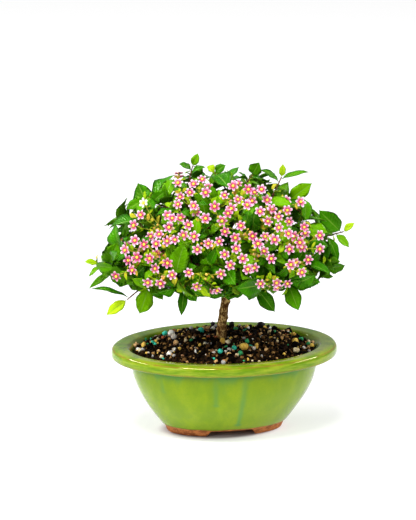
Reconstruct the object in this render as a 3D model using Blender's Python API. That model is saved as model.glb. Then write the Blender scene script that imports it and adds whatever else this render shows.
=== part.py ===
"""Barbados cherry bonsai: an oval glazed pot on two unglazed feet, soil with grit, a trunk with its limbs,
leafy sprays and umbels of six-petalled blooms.

The frame: metres, +Z up, the origin on the ground under the middle of the whole plant's box.
The pot's long axis lies along X. The tree is laid out from its best side and then turned with the pot.
"""

import math
import random
from dataclasses import dataclass, field

import bmesh
import bpy
import numpy as np
from mathutils.bvhtree import BVHTree

MM = 0.001
UP = np.array((0.0, 0.0, 1.0))
TO_VIEWER = np.array((0.0, -1.0, 0.0))
GOLDEN_ANGLE = math.pi * (3 - math.sqrt(5))

# The pot: every level is an ellipse set in from the rim's ellipse by the same amount all round
RIM_HALF_LENGTH = 82.5 * MM
RIM_HALF_WIDTH = 66.0 * MM
POT_HEIGHT = 63.0 * MM
RIM_BAND = 8.2 * MM
RIM_ROUND = 1.8 * MM
RIM_MOUTH = 69.0 * MM
WALL = 5.0 * MM
BODY_FOOT = 46.2 * MM
BODY_SWELL = 21.8 * MM
BODY_LOW = 6.5 * MM
BODY_RISE = 45.0 * MM
FOOT_HEIGHT = 5.0 * MM
FOOT_HALF_LENGTH = 42.3 * MM
FOOT_RING = 8.0 * MM
FLOOR_TOP = 10.5 * MM
FOOT_LEAN = 1.6 * MM
NOTCH_HALF_LOW = 18.0 * MM
NOTCH_HALF_HIGH = 15.0 * MM
NOTCH_HEIGHT = 4.8 * MM
DRAIN_RADIUS = 5.0 * MM
DRAIN_OFFSET = 17.0 * MM
DRAIN_SIDES = 12
POT_SIDES = 28

# The soil, its grit, and the mesh over each drain hole
SOIL_EDGE = 58.5 * MM
SOIL_MOUND = 9.0 * MM
SOIL_CLOD = 0.9 * MM
SOIL_INSET = 0.55 * MM
SOIL_HALF_LENGTH = 65.1 * MM
SOIL_RINGS = (0.93, 0.78, 0.52, 0.24)
GRIT_COUNT = 10
SEAT_GAP = 0.3 * MM
SCREEN_SIDE = 15.0 * MM
SCREEN_THICK = 0.8 * MM
SCREEN_HOLE = 4.0 * MM
SCREEN_PITCH = 3.0 * MM

# The trunk, from its buried stub to the fork, as (across, height, radius) from the best side
TRUNK_LINE = (
    (-2.4 * MM, 48.0 * MM, 3.9 * MM),
    (-2.4 * MM, 66.0 * MM, 3.9 * MM),
    (-2.3 * MM, 70.0 * MM, 3.6 * MM),
    (-1.6 * MM, 80.0 * MM, 3.3 * MM),
    (-0.2 * MM, 90.0 * MM, 3.0 * MM),
    (1.2 * MM, 99.0 * MM, 2.9 * MM),
    (2.0 * MM, 107.0 * MM, 2.6 * MM),
)
TRUNK_KNOTS = ((78.0 * MM, 2.7), (83.0 * MM, 0.3), (95.0 * MM, 0.2), (88.0 * MM, 4.6))
TRUNK_SIDES = 10
STUB_HOLE_RADIUS = 4.6 * MM

# The crown, seen from its best side: X across, Y away, Z up, from the pot's axis at the ground
BEST_SIDE_TURN = math.radians(12.0)
PLANT_SHIFT = np.array((3.8 * MM, -1.2 * MM, 0.0))
CROWN_MIDDLE = np.array((-5.0, 0.0, 126.0)) * MM
CROWN_HALF = np.array((87.0, 72.0, 66.0)) * MM
CROWN_DROP = 16.0 * MM
FORK = np.array((2.0, 0.0, 106.0)) * MM
PRIMARY_COUNT = 6
SPRAY_COUNT = 23
SHOOT_COUNT = 46
LEAF_TARGETS = 142
PRIMARY_REACH = 0.24
LIMB_REACH = 0.43
STEM_REACH = 0.62
TIP_REACH = 0.87
HUB_REACH = 0.86
BLOOM_REACH = (0.95, 1.06)
SHOOT_STEP = 2.4 * MM
JOINT_GAP = 0.4 * MM
CLEARANCE = 0.35 * MM
PRIMARY_RADIUS = (2.2 * MM, 1.5 * MM)
LIMB_RADIUS = (1.4 * MM, 1.0 * MM)
STEM_RADIUS = (1.0 * MM, 0.85 * MM)
SHOOT_RADIUS = (0.9 * MM, 0.65 * MM)
PEDUNCLE_RADIUS = (0.6 * MM, 0.75 * MM)
PEDUNCLE_LENGTH = 7.0 * MM
HUB_CAP = 0.8 * MM
PEDICEL_RADIUS = 0.35 * MM
LEAF_LENGTH = (15.0 * MM, 27.0 * MM)
LARGE_LEAF_LENGTH = 24.0 * MM
BLADE_THICK = 0.6 * MM
LEAF_STALK_HALF = 0.38 * MM
LEAF_MIDDLE = 11.0 * MM
STALK_SHARE = 0.11
LEAF_CLEAR_SHARE = 0.13
ROOT_TAPER = 0.6
BLOOM_RADIUS = 4.1 * MM
PETALS = 6
PETAL_NOTCH = 0.5
PETAL_LIFT = 0.16
BLOOM_BOSS = 1.0 * MM
BLOOM_DEPTH = 1.2 * MM
BLOOM_SPACING = 8.0 * MM
UMBEL_RADIUS = 11.0 * MM
SEEN_FROM = math.radians(14.0)
BACK_UMBELS = 4
BACK_UMBEL_SPACING = 34.0 * MM
BLOOM_DARTS = 20000
BLOOMS_PER_BACK_UMBEL = 3
GROWTH_SEED = 11

# Shoots that stand out of the crown, as seen from the best side, in mm: where the shoot ends, then its leaves
# as (share of the way along the shoot, leaf tip, leaf width, how far it faces the viewer rather than up)
ACCENT_SHOOTS = (
    ((-91, -6, 124), ((0.80, (-77, -14, 142), 15, 0.9), (1.0, (-101, -8, 126), 5, 0.5),
                      (0.9, (-98, -9, 115), 4, 0.4), (0.62, (-98, -12, 107), 5, 0.6))),
    ((-70, -24, 102), ((0.92, (-97, -24, 110), 6, 0.2), (1.0, (-85, -30, 92), 8, 0.8))),
    ((-55, -33, 113), ((0.96, (-61, -38, 95), 13, 1.0), (0.75, (-44, -40, 106), 9, 0.8))),
    ((-27, -34, 115), ((0.9, (-31, -40, 94), 7, 0.8), (0.95, (-20, -42, 105), 10, 0.9))),
    ((3, -18, 114), ((0.9, (6, -26, 104), 15, 0.8),)),
    ((24, -36, 113), ((0.95, (36, -44, 98), 11, 0.9), (0.7, (14, -42, 108), 9, 0.7))),
    ((49, -32, 116), ((0.9, (53, -40, 98), 12, 0.9), (0.95, (69, -36, 118), 11, 0.5))),
    ((86, 6, 145), ((0.96, (68, 2, 162), 14, 0.9), (1.0, (94, 4, 152), 5, 0.6),
                    (0.85, (90, -2, 135), 6, 0.5), (0.55, (73, -8, 126), 12, 0.8), (0.7, (82, -4, 125), 7, 0.6))),
    ((46, 2, 169), ((1.0, (63, -2, 183), 11, 0.9), (0.85, (57, -10, 168), 8, 0.6))),
    ((41, 0, 187), ((0.95, (61, -2, 191), 6, 0.3), (0.9, (25, 2, 192), 6, 0.3),
                    (1.0, (42, -1, 197), 5, 0.7))),
    ((-57, -4, 171), ((1.0, (-71, -8, 165), 8, 0.7), (0.85, (-43, -8, 178), 10, 0.6))),
    ((-23, 0, 195), ((1.0, (-19, -2, 205), 6, 0.8), (0.93, (-33, -2, 197), 6, 0.4),
                     (0.9, (-14, -3, 196), 5, 0.4))),
    ((-7, 4, 189), ((1.0, (-13, 2, 194), 7, 0.5), (1.0, (1, 3, 195), 7, 0.5))),
    ((20, 2, 188), ((1.0, (25, -1, 198), 10, 0.8),)),
)


# Umbels as the best side shows them from SEEN_FROM above level, in mm: across, up the view, and blooms
FRONT_UMBELS = (
    (-14, 175, 4), (-28, 170, 3), (7, 176, 3), (21, 172, 3), (39, 169, 2), (34, 162, 4), (28, 152, 5),
    (7, 163, 4), (-2, 155, 4), (-21, 154, 5), (-33, 156, 4), (-53, 150, 4), (-27, 145, 5), (-44, 141, 5),
    (-67, 132, 3), (-68, 122, 4), (-50, 129, 4), (14, 144, 3), (32, 143, 5), (48, 138, 5), (-12, 137, 3),
    (7, 129, 5), (27, 131, 4), (61, 138, 3), (49, 121, 5), (39, 111, 4), (-51, 115, 4), (-19, 114, 5),
)


# Vectors and directions


def unit(vector):
    """A vector's direction."""
    vector = np.asarray(vector, float)
    return vector / np.linalg.norm(vector)


def across_of(direction, wanted):
    """The part of a wanted direction that lies square to another."""
    direction = unit(direction)
    flat = wanted - direction * np.dot(wanted, direction)
    if np.linalg.norm(flat) < 1e-6:
        flat = np.cross(direction, (0.31, 0.87, 0.38))
    return unit(flat)


def turned(vector, axis, angle):
    """A vector turned about an axis by an angle, by Rodrigues' rule."""
    axis = unit(axis)
    return (
        vector * math.cos(angle)
        + np.cross(axis, vector) * math.sin(angle)
        + axis * np.dot(axis, vector) * (1 - math.cos(angle))
    )


def spread(count, lowest, highest, turn):
    """Directions spread evenly over a band of the sphere, each a golden angle on from the last."""
    rise = highest - (np.arange(count) + 0.5) / count * (highest - lowest)
    angle = turn + np.arange(count) * GOLDEN_ANGLE
    flat = np.sqrt(1 - rise**2)
    return np.stack([flat * np.cos(angle), flat * np.sin(angle), rise], axis=1)


def crown_half(direction):
    """The crown's half sizes on the side that a direction points to: it hangs less than it rises."""
    half = CROWN_HALF.copy()
    if direction[2] < 0:
        half[2] = CROWN_DROP
    return half


def crown_point(direction, reach):
    """The point a share of the way from the fork to the crown's outside, in a direction from its middle."""
    outside = CROWN_MIDDLE + direction * crown_half(direction)
    return FORK + reach * (outside - FORK)


def crown_normal(direction):
    """The way the crown's outside faces at a direction from its middle."""
    return unit(direction / crown_half(direction))


def direction_of(point):
    """The direction from the crown's middle whose outside lies beyond a point."""
    offset = np.asarray(point, float) - CROWN_MIDDLE
    return unit(offset / crown_half(offset))


# Plain closed shapes, as points and faces


def tube(line, radii, sides):
    """A closed tube along a line of points, with a ring square to the line at each point and flat ends."""
    line = np.asarray(line, float)
    steps = np.diff(line, axis=0)
    tangents = np.vstack([steps[:1], steps[:-1] + steps[1:], steps[-1:]])
    angles = np.arange(sides) * 2 * math.pi / sides
    side = across_of(tangents[0], UP + 0.37 * TO_VIEWER)
    points = []
    for centre, tangent, radius in zip(line, tangents, radii):
        side = across_of(tangent, side)
        other = np.cross(unit(tangent), side)
        ring = np.outer(np.cos(angles), side) + np.outer(np.sin(angles), other)
        points.extend(centre + radius * ring)
    faces = [tuple(range(sides))[::-1]]
    for ring in range(len(line) - 1):
        low = ring * sides
        for k in range(sides):
            after = (k + 1) % sides
            faces.append((low + k, low + after, low + sides + after, low + sides + k))
    faces.append(tuple(range((len(line) - 1) * sides, len(line) * sides)))
    return np.array(points), faces


def ball(centre, radii, turn):
    """A rough pebble: an icosahedron stretched to three half sizes and turned about Z."""
    golden = (1 + math.sqrt(5)) / 2
    corners = []
    for a in (-1, 1):
        for b in (-golden, golden):
            corners += [(0, a, b), (a, b, 0), (b, 0, a)]
    shape = bmesh.new()
    for corner in corners:
        shape.verts.new(turned(unit(corner) * radii, UP, turn) + centre)
    bmesh.ops.convex_hull(shape, input=shape.verts)
    shape.verts.index_update()
    points = np.array([tuple(v.co) for v in shape.verts])
    faces = [tuple(v.index for v in f.verts) for f in shape.faces]
    shape.free()
    return points, faces


# How the tree grows. The same rule lays out the finer leaves and blooms of the dressed model.


@dataclass
class Leaf:
    """A leaf on its stalk: its root on the twig's axis, how it sets out and faces, its bend and its waves."""

    base: np.ndarray
    forward: np.ndarray
    facing: np.ndarray
    length: float
    width: float
    bend: float
    wave: float


@dataclass
class Shoot:
    line: np.ndarray
    accent: tuple = ()


@dataclass
class Spray:
    direction: np.ndarray
    stem: np.ndarray
    limb: np.ndarray
    shoots: list = field(default_factory=list)
    leaves: list = field(default_factory=list)


@dataclass
class Bloom:
    centre: np.ndarray
    facing: np.ndarray
    radius: float
    turn: float


@dataclass
class Umbel:
    peduncle: np.ndarray
    hub: np.ndarray
    wanted: int
    blooms: list = field(default_factory=list)


def leaf_half_width(leaf, along):
    """Half the leaf's width at a share of its length: a thin stalk, then an oval blade with a point."""
    blade = np.clip((along - STALK_SHARE) / (1 - STALK_SHARE), 0, 1)
    oval = np.sin(math.pi * blade**0.86) ** 0.82
    return np.maximum(leaf.width / 2 * oval, LEAF_STALK_HALF * np.minimum(1, 8 * (1 - along)))


def leaf_surface(leaf, along, across):
    """Points of the leaf's middle surface and its facing there, at shares along and across (-1 to 1) it.
    The midrib is an arc that bends away from the leaf's face. Both halves fold up from it, and wave."""
    along, across = np.broadcast_arrays(np.asarray(along, float), np.asarray(across, float))
    side = np.cross(leaf.facing, leaf.forward)
    turn = leaf.bend * along
    ahead = leaf.length * np.sin(turn) / leaf.bend
    fall = leaf.length * (1 - np.cos(turn)) / leaf.bend
    facing = np.cos(turn)[..., None] * leaf.facing + np.sin(turn)[..., None] * leaf.forward
    half = leaf_half_width(leaf, along)
    half_blade = np.where(along > STALK_SHARE, half, 0)
    fold = 0.30 * np.abs(across) * half_blade
    wave = np.sin(3.1 * math.pi * along + leaf.wave + 1.3 * across)
    ripple = 0.16 * across * np.abs(across) * half_blade * wave
    points = (
        leaf.base
        + ahead[..., None] * leaf.forward
        - fall[..., None] * leaf.facing
        + (across * half)[..., None] * side
        + (fold + ripple)[..., None] * facing
    )
    return points, facing


# A large leaf's rows and a small one's, as (along, across) of each point, then the faces between them
LARGE_LEAF = (
    ((0, 1), (0, -1), (STALK_SHARE, 1), (STALK_SHARE, -1), (0.38, 1), (0.38, 0), (0.38, -1),
     (0.72, 1), (0.72, 0), (0.72, -1), (1, 0)),
    ((0, 1, 3, 2), (2, 3, 5), (2, 5, 4), (3, 6, 5), (4, 5, 8), (4, 8, 7), (5, 6, 9), (5, 9, 8),
     (7, 8, 10), (8, 9, 10)),
    (0, 1, 3, 6, 9, 10, 7, 4, 2),
)
SMALL_LEAF = (
    ((0, 1), (0, -1), (STALK_SHARE, 1), (STALK_SHARE, -1), (0.45, 1), (0.45, 0), (0.45, -1), (1, 0)),
    ((0, 1, 3, 2), (2, 3, 5), (2, 5, 4), (3, 6, 5), (4, 5, 7), (5, 6, 7)),
    (0, 1, 3, 6, 7, 4, 2),
)


def leaf_solid(leaf, start=0.0, swell=0.0):
    """A leaf as a thin closed blade of even thickness, both faces split alike. Its root thins in the twig."""
    stations, top, edge = LARGE_LEAF if leaf.length > LARGE_LEAF_LENGTH else SMALL_LEAF
    along, across = np.array(stations).T
    along = start + (1 - start) * along
    points, facing = leaf_surface(leaf, along, across)
    if swell:
        middle = leaf_surface(leaf, along, 0 * across)[0]
        outward = points - middle
        reach = np.linalg.norm(outward, axis=1, keepdims=True)
        points = points + swell * outward / np.maximum(reach, 1e-6)
        points[-1] += swell * unit(points[-1] - middle[-2])
    half = (BLADE_THICK / 2 + swell) * facing
    if not start:
        half[:2] *= ROOT_TAPER
    count = len(points)
    faces = list(top) + [tuple(count + i for i in f[::-1]) for f in top]
    for a, b in zip(edge, edge[1:] + edge[:1]):
        faces.append((b, a, a + count, b + count))
    return np.vstack([points + half, points - half]), faces


def bloom_solid(bloom, hub=None, swell=0.0):
    """A shallow funnel with a star's outline and a raised middle: six petals above, a cone below. Where a
    hub is given, the cone goes on as the three-sided stalk that the bloom stands on."""
    side = across_of(bloom.facing, UP)
    other = np.cross(bloom.facing, side)
    count = 2 * PETALS
    angles = bloom.turn + np.arange(count) * math.pi / PETALS
    tips = np.arange(count) % 2 == 0
    radii = np.where(tips, bloom.radius, PETAL_NOTCH * bloom.radius) + swell
    lift = np.where(tips, PETAL_LIFT, 0.0) * bloom.radius
    outline = (
        bloom.centre
        + (radii * np.cos(angles))[:, None] * side
        + (radii * np.sin(angles))[:, None] * other
        + lift[:, None] * bloom.facing
    )
    boss = bloom.centre + (BLOOM_BOSS + swell) * bloom.facing
    throat = bloom.centre - (BLOOM_DEPTH + swell) * bloom.facing
    faces = [(k, (k + 1) % count, count) for k in range(count)]
    if hub is None:
        faces += [((k + 1) % count, k, count + 1) for k in range(count)]
        return np.vstack([outline, boss, throat]), faces
    points = [outline, boss]
    ring_angles = bloom.turn + np.arange(3) * 2 * math.pi / 3
    for middle, ahead in ((throat, bloom.facing), (hub, unit(bloom.centre - hub))):
        first = across_of(ahead, side)
        second = np.cross(ahead, first)
        ring = np.outer(np.cos(ring_angles), first) + np.outer(np.sin(ring_angles), second)
        points.append(middle + PEDICEL_RADIUS * ring)
    upper, lower = count + 1, count + 4
    share = count // 3
    for k in range(3):
        after = (k + 1) % 3
        first_edge = k * share - share // 2
        for edge in range(first_edge, first_edge + share):
            faces.append(((edge + 1) % count, edge % count, upper + k))
        faces.append(((first_edge + share) % count, upper + k, upper + after))
        faces.append((upper + after, upper + k, lower + k, lower + after))
    faces.append((lower + 2, lower + 1, lower))
    return np.vstack(points), faces


class Crowd:
    """What already stands in the crown. A new piece is let in only where it crosses nothing."""

    def __init__(self):
        self.taken = []

    @staticmethod
    def _body(solid):
        points, faces = solid
        middle = (points.min(axis=0) + points.max(axis=0)) / 2
        reach = np.linalg.norm(points - middle, axis=1).max()
        return BVHTree.FromPolygons(points.tolist(), faces), middle, reach

    def free(self, solid, owner, own_solid=None):
        """Whether a solid crosses nothing of other owners, and a smaller form of it nothing of its own."""
        tree, middle, reach = self._body(solid)
        own_tree = self._body(own_solid)[0] if own_solid is not None else None
        for other_owner, forms in self.taken:
            (full, full_middle, full_reach), own_form = forms
            if np.linalg.norm(full_middle - middle) > full_reach + reach:
                continue
            if other_owner != owner and tree.overlap(full):
                return False
            if other_owner == owner and own_tree is not None and own_tree.overlap(own_form[0]):
                return False
        return True

    def take(self, solid, owner, own_solid=None):
        full = self._body(solid)
        self.taken.append((owner, (full, self._body(own_solid) if own_solid is not None else full)))


def bent_line(start, end, swing, count):
    """Points on a shallow arc from start to end, pushed sideways by a swing that is widest half way."""
    shares = np.linspace(0, 1, count)[:, None]
    return start + shares * (end - start) + np.sin(math.pi * shares) * swing


def random_vector(rng, size):
    return np.array([rng.uniform(-size, size) for _ in range(3)])


def nearest(direction, others):
    return int(np.argmax(np.asarray(others) @ unit(direction)))


def wood_line(direction, start, sway):
    """A limb from a primary's end to the joint, and the stem that goes on from it 0.4 mm further on."""
    stations = [LIMB_REACH - 0.09, LIMB_REACH, STEM_REACH - 0.1, STEM_REACH]
    low, joint, middle, top = [
        crown_point(direction, reach) + sway * math.sin(math.pi * reach / STEM_REACH) for reach in stations
    ]
    limb = np.array([start, low, joint])
    return limb, np.array([joint + JOINT_GAP * unit(middle - joint), middle, top])


def trunk_line():
    """The trunk's axis and radii, from its buried stub to the fork."""
    across, height, radii = np.array(TRUNK_LINE).T
    return np.stack([across, 0 * across, height], axis=1), radii


def grow_wood(rng, crowd):
    """Primaries rise from the fork, each limb leaves the nearest primary, and a stem goes on from it."""
    crowd.take(tube(*trunk_line(), TRUNK_SIDES), "wood")
    primaries = [crown_point(d, PRIMARY_REACH) for d in spread(PRIMARY_COUNT, -0.1, 0.98, 0.4)]
    primary_directions = [unit(p - FORK) for p in primaries]
    for end in primaries:
        crowd.take(tube([FORK, end], PRIMARY_RADIUS, 6), "wood")
    sprays = []
    for owner, direction in enumerate(spread(SPRAY_COUNT, -0.42, 0.97, 1.1)):
        start = primaries[nearest(crown_point(direction, LIMB_REACH) - FORK, primary_directions)]
        for attempt in range(30):
            limb, stem = wood_line(direction, start, random_vector(rng, (2.2 + 0.2 * attempt) * MM))
            limb_solid = tube(limb, np.linspace(*LIMB_RADIUS, 3) + CLEARANCE, 4)
            stem_solid = tube(stem, np.linspace(*STEM_RADIUS, 3) + CLEARANCE, 4)
            if crowd.free(limb_solid, "wood") and crowd.free(stem_solid, owner):
                break
        crowd.take(tube(limb, np.linspace(*LIMB_RADIUS, 3), 4), "wood")
        crowd.take(tube(stem, np.linspace(*STEM_RADIUS, 3), 4), owner)
        sprays.append(Spray(direction=direction, limb=limb, stem=stem))
    return primaries, sprays


def grow_shoots(rng, crowd, sprays):
    """Shoots leave the nearest stem one after another and end all over the crown, the set ones first."""
    directions = [s.direction for s in sprays]
    ends = [(np.array(end) * MM, leaves) for end, leaves in ACCENT_SHOOTS]
    for direction in spread(SHOOT_COUNT, -0.5, 0.97, 2.3):
        ends.append((crown_point(direction, TIP_REACH + rng.uniform(-0.04, 0.05)), ()))
    for wanted, leaves in ends:
        owner = nearest(direction_of(wanted), directions)
        spray = sprays[owner]
        outward = unit(spray.stem[-1] - spray.stem[-2])
        start = spray.stem[-1] - (0.4 * MM + SHOOT_STEP * len(spray.shoots)) * outward
        for attempt in range(30):
            end = wanted + random_vector(rng, 0.3 * MM * attempt)
            bow = across_of(end - start, outward + random_vector(rng, 0.4 + 0.1 * attempt))
            line = bent_line(start, end, 0.10 * np.linalg.norm(end - start) * bow, 3)
            if crowd.free(tube(line, shoot_radii(3) + CLEARANCE, 4), owner):
                crowd.take(tube(line, shoot_radii(3), 4), owner)
                spray.shoots.append(Shoot(line=line, accent=leaves))
                break


def shoot_radii(count):
    return np.linspace(SHOOT_RADIUS[0], SHOOT_RADIUS[1], count)


def shoot_point(shoot, share):
    """The point and the tangent at a share of the way along a shoot."""
    place = share * (len(shoot.line) - 1)
    k = min(int(place), len(shoot.line) - 2)
    step = shoot.line[k + 1] - shoot.line[k]
    return shoot.line[k] + (place - k) * step, unit(step)


def leaf_towards(base, tip, width, facing, wave, bend):
    """A leaf from its root to a tip, set out above the straight line so that its arc ends there."""
    reach = tip - base
    chord = np.linalg.norm(reach)
    facing = across_of(reach, facing)
    forward = turned(unit(reach), np.cross(unit(reach), facing), bend / 2)
    facing = across_of(forward, facing)
    length = chord * (bend / 2) / math.sin(bend / 2)
    return Leaf(base, forward, facing, length, width, bend, wave)


def try_leaf(crowd, leaf, spray, owner):
    """Adds the leaf to its spray if nothing is in its way."""
    full = leaf_solid(leaf, swell=CLEARANCE)
    blade = leaf_solid(leaf, start=LEAF_CLEAR_SHARE, swell=CLEARANCE)
    if not crowd.free(full, owner, blade):
        return False
    crowd.take(leaf_solid(leaf), owner, leaf_solid(leaf, start=LEAF_CLEAR_SHARE))
    spray.leaves.append(leaf)
    return True


def grow_accent_leaves(rng, crowd, sprays):
    """The leaves of the shoots that stand out of the crown, each nudged a little until it is clear."""
    for owner, spray in enumerate(sprays):
        for shoot in spray.shoots:
            for share, tip, width, to_viewer in shoot.accent:
                base = shoot_point(shoot, share)[0]
                wanted = (1 - to_viewer) * UP + to_viewer * TO_VIEWER
                for attempt in range(12):
                    nudge = random_vector(rng, 0.5 * MM * attempt)
                    facing = wanted + random_vector(rng, 0.1 + 0.03 * attempt)
                    end = np.array(tip) * MM + nudge
                    wave, bend = rng.uniform(0, 6.28), rng.uniform(0.3, 0.8)
                    leaf = leaf_towards(base, end, width * MM, facing, wave, bend)
                    if try_leaf(crowd, leaf, spray, owner):
                        break


def random_direction(rng, lowest, highest):
    rise = rng.uniform(lowest, highest)
    angle = rng.uniform(0, 2 * math.pi)
    flat = math.sqrt(1 - rise * rise)
    return np.array((flat * math.cos(angle), flat * math.sin(angle), rise))


def seen_direction(across, up):
    """The direction whose point on the crown's near side shows at a place in the view of the best side."""
    choices = [d for d in spread(3000, -0.95, 0.98, 0.0) if np.dot(crown_normal(d), TO_VIEWER) > 0.1]
    shown = np.array([crown_point(d, 1.0) for d in choices])
    upward = shown[:, 1] * math.sin(SEEN_FROM) + shown[:, 2] * math.cos(SEEN_FROM)
    return choices[np.argmin(np.hypot(shown[:, 0] - across, upward - up))]


def umbel_directions(rng):
    """Where the umbels stand, and how many blooms each wants: the set ones, then a few well apart on the back."""
    found = [(seen_direction(across * MM, up * MM), blooms) for across, up, blooms in FRONT_UMBELS]
    back = []
    while len(back) < BACK_UMBELS:
        direction = random_direction(rng, -0.1, 0.8)
        place = crown_point(direction, 1.0)
        apart = [np.linalg.norm(place - crown_point(other, 1.0)) for other in back]
        if direction[1] > 0.5 and min(apart, default=1.0) > BACK_UMBEL_SPACING:
            back.append(direction)
    return found + [(direction, BLOOMS_PER_BACK_UMBEL) for direction in back]


def grow_umbels(rng, crowd, sprays):
    """Each umbel's stalk springs from a near shoot that leaves it a clear way, 0.4 mm off its bark."""
    shoots = [shoot for spray in sprays for shoot in spray.shoots]
    shares = (0.25, 0.4, 0.55, 0.7, 0.85)
    roots = [(share, *shoot_point(shoot, share)) for shoot in shoots for share in shares]
    umbels = []
    for direction, wanted in umbel_directions(rng):
        owner = f"umbel {len(umbels)}"
        for attempt in range(30):
            hub = crown_point(direction, HUB_REACH + rng.uniform(-0.03, 0.03))
            hub = hub + random_vector(rng, 0.15 * MM * attempt)
            roots.sort(key=lambda r: abs(np.linalg.norm(hub - r[1]) - PEDUNCLE_LENGTH))
            share, root, tangent = roots[attempt % 10]
            away = across_of(tangent, hub - root)
            bark = SHOOT_RADIUS[0] + (SHOOT_RADIUS[1] - SHOOT_RADIUS[0]) * share
            foot, bend = root + (bark + JOINT_GAP) * away, root + (bark + 2 * MM) * away
            line = np.array([foot, bend, hub + HUB_CAP * unit(hub - bend)])
            radii = np.linspace(PEDUNCLE_RADIUS[0], PEDUNCLE_RADIUS[1], 3)
            if crowd.free(tube(line, radii + 0.3 * MM, 4), owner):
                crowd.take(tube(line, radii, 4), owner)
                umbels.append(Umbel(line, hub, wanted))
                break
    return umbels


def grow_blooms(rng, crowd, umbels):
    """Blooms stand on the crown's outside, thickest round each umbel's hub, and clear of one another."""
    hubs = [direction_of(u.hub) for u in umbels]
    places = []
    for _ in range(BLOOM_DARTS):
        direction = random_direction(rng, -0.8, 0.97)
        best = nearest(direction, hubs)
        umbel = umbels[best]
        if len(umbel.blooms) == umbel.wanted:
            continue
        place = crown_point(direction, rng.uniform(*BLOOM_REACH))
        offset = np.linalg.norm(place - crown_point(hubs[best], 1.0))
        if rng.random() > math.exp(-((offset / UMBEL_RADIUS) ** 2)):
            continue
        if any(np.linalg.norm(place - other) < BLOOM_SPACING for other in places):
            continue
        front = 1.1 * TO_VIEWER if direction[1] < 0.25 else 0.0
        away = unit(place - umbel.hub)
        facing = unit(crown_normal(direction) + 0.4 * away + front + random_vector(rng, 0.25))
        if np.dot(facing, away) < 0.4:
            continue
        bloom = Bloom(place, facing, BLOOM_RADIUS * rng.uniform(0.9, 1.06), rng.uniform(0, 6.28))
        owner = f"umbel {best}"
        solid = bloom_solid(bloom, umbel.hub)
        star = bloom_solid(bloom, swell=CLEARANCE)
        stalk = tube([umbel.hub, bloom.centre - BLOOM_DEPTH * facing], [PEDICEL_RADIUS + CLEARANCE] * 2, 3)
        if crowd.free(star, owner, star) and crowd.free(stalk, owner):
            crowd.take(solid, owner, bloom_solid(bloom))
            umbel.blooms.append(bloom)
            places.append(place)
    return places


def grow_leaves(rng, crowd, sprays):
    """One leaf is tried for each of many spots spread over the crown, from the twig points nearest to it."""
    roots = []
    for owner, spray in enumerate(sprays):
        for shoot in spray.shoots:
            for share in (0.14, 0.26, 0.38, 0.5, 0.62, 0.74, 0.86, 0.97):
                roots.append((owner, shoot_point(shoot, share)[0]))
    places = np.array([root for _, root in roots])
    free = np.ones(len(roots), bool)
    for direction in spread(LEAF_TARGETS, -0.85, 0.99, 0.2):
        spot = crown_point(direction, 0.93 + rng.uniform(-0.07, 0.03))
        gaps = np.linalg.norm(places - spot, axis=1)
        order = np.argsort(np.abs(gaps - LEAF_MIDDLE) + np.where(free, 0, 1))
        for attempt in range(26):
            choice = order[attempt % 7]
            owner, root = roots[choice]
            reach = spot + random_vector(rng, (0.6 + 0.16 * attempt) * MM) - root
            chord = np.clip(1.9 * np.linalg.norm(reach), *LEAF_LENGTH) * (1 - 0.012 * attempt)
            facing = crown_normal(direction) + 0.35 * UP + random_vector(rng, 0.3 + 0.03 * attempt)
            width = chord * rng.uniform(0.5, 0.63)
            wave, bend = rng.uniform(0, 6.28), rng.uniform(0.3, 0.9)
            leaf = leaf_towards(root, root + unit(reach) * chord, width, facing, wave, bend)
            if try_leaf(crowd, leaf, sprays[owner], owner):
                free[choice] = False
                break


def grow():
    """The tree above the fork, laid out from its best side: wood, set leaves, umbels, blooms, leaves."""
    rng = random.Random(GROWTH_SEED)
    crowd = Crowd()
    primaries, sprays = grow_wood(rng, crowd)
    grow_shoots(rng, crowd, sprays)
    grow_accent_leaves(rng, crowd, sprays)
    umbels = grow_umbels(rng, crowd, sprays)
    grow_blooms(rng, crowd, umbels)
    grow_leaves(rng, crowd, sprays)
    return primaries, sprays, [u for u in umbels if u.blooms]


def in_frame(points):
    """Points laid out from the best side, turned with the pot and set down in the object's frame."""
    points = np.asarray(points, float)
    cos, sin = math.cos(BEST_SIDE_TURN), math.sin(BEST_SIDE_TURN)
    x = points[:, 0] * cos + points[:, 1] * sin
    y = -points[:, 0] * sin + points[:, 1] * cos
    return np.stack([x, y, points[:, 2]], axis=1) + PLANT_SHIFT


# Objects and materials


def material(name, colour, roughness):
    made = bpy.data.materials.new(name)
    made.use_nodes = True
    shader = made.node_tree.nodes["Principled BSDF"]
    shader.inputs["Base Color"].default_value = (*colour, 1.0)
    shader.inputs["Roughness"].default_value = roughness
    shader.inputs["Metallic"].default_value = 0.0
    return made


def solid_object(name, solid, finish):
    points, faces = solid
    mesh = bpy.data.meshes.new(name)
    mesh.from_pydata(np.asarray(points).tolist(), [], faces)
    mesh.update()
    mesh.materials.append(finish)
    made = bpy.data.objects.new(name, mesh)
    bpy.context.scene.collection.objects.link(made)
    return made


def apply_modifiers(made):
    """Keeps the evaluated mesh as the object's own, with no modifier left."""
    graph = bpy.context.evaluated_depsgraph_get()
    mesh = bpy.data.meshes.new_from_object(made.evaluated_get(graph))
    made.modifiers.clear()
    made.data = mesh


def boolean(made, solids, operation, solver="EXACT"):
    """Joins or cuts an object with several closed solids in one Boolean, and removes them."""
    group = bpy.data.collections.new(made.name + " pieces")
    bpy.context.scene.collection.children.link(group)
    for k, solid in enumerate(solids):
        piece = solid_object(f"{made.name} piece {k}", solid, made.data.materials[0])
        bpy.context.scene.collection.objects.unlink(piece)
        group.objects.link(piece)
    modifier = made.modifiers.new("pieces", "BOOLEAN")
    modifier.operation = operation
    modifier.operand_type = "COLLECTION"
    modifier.collection = group
    modifier.solver = solver
    apply_modifiers(made)
    for piece in list(group.objects):
        bpy.data.objects.remove(piece)
    bpy.data.collections.remove(group)


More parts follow.
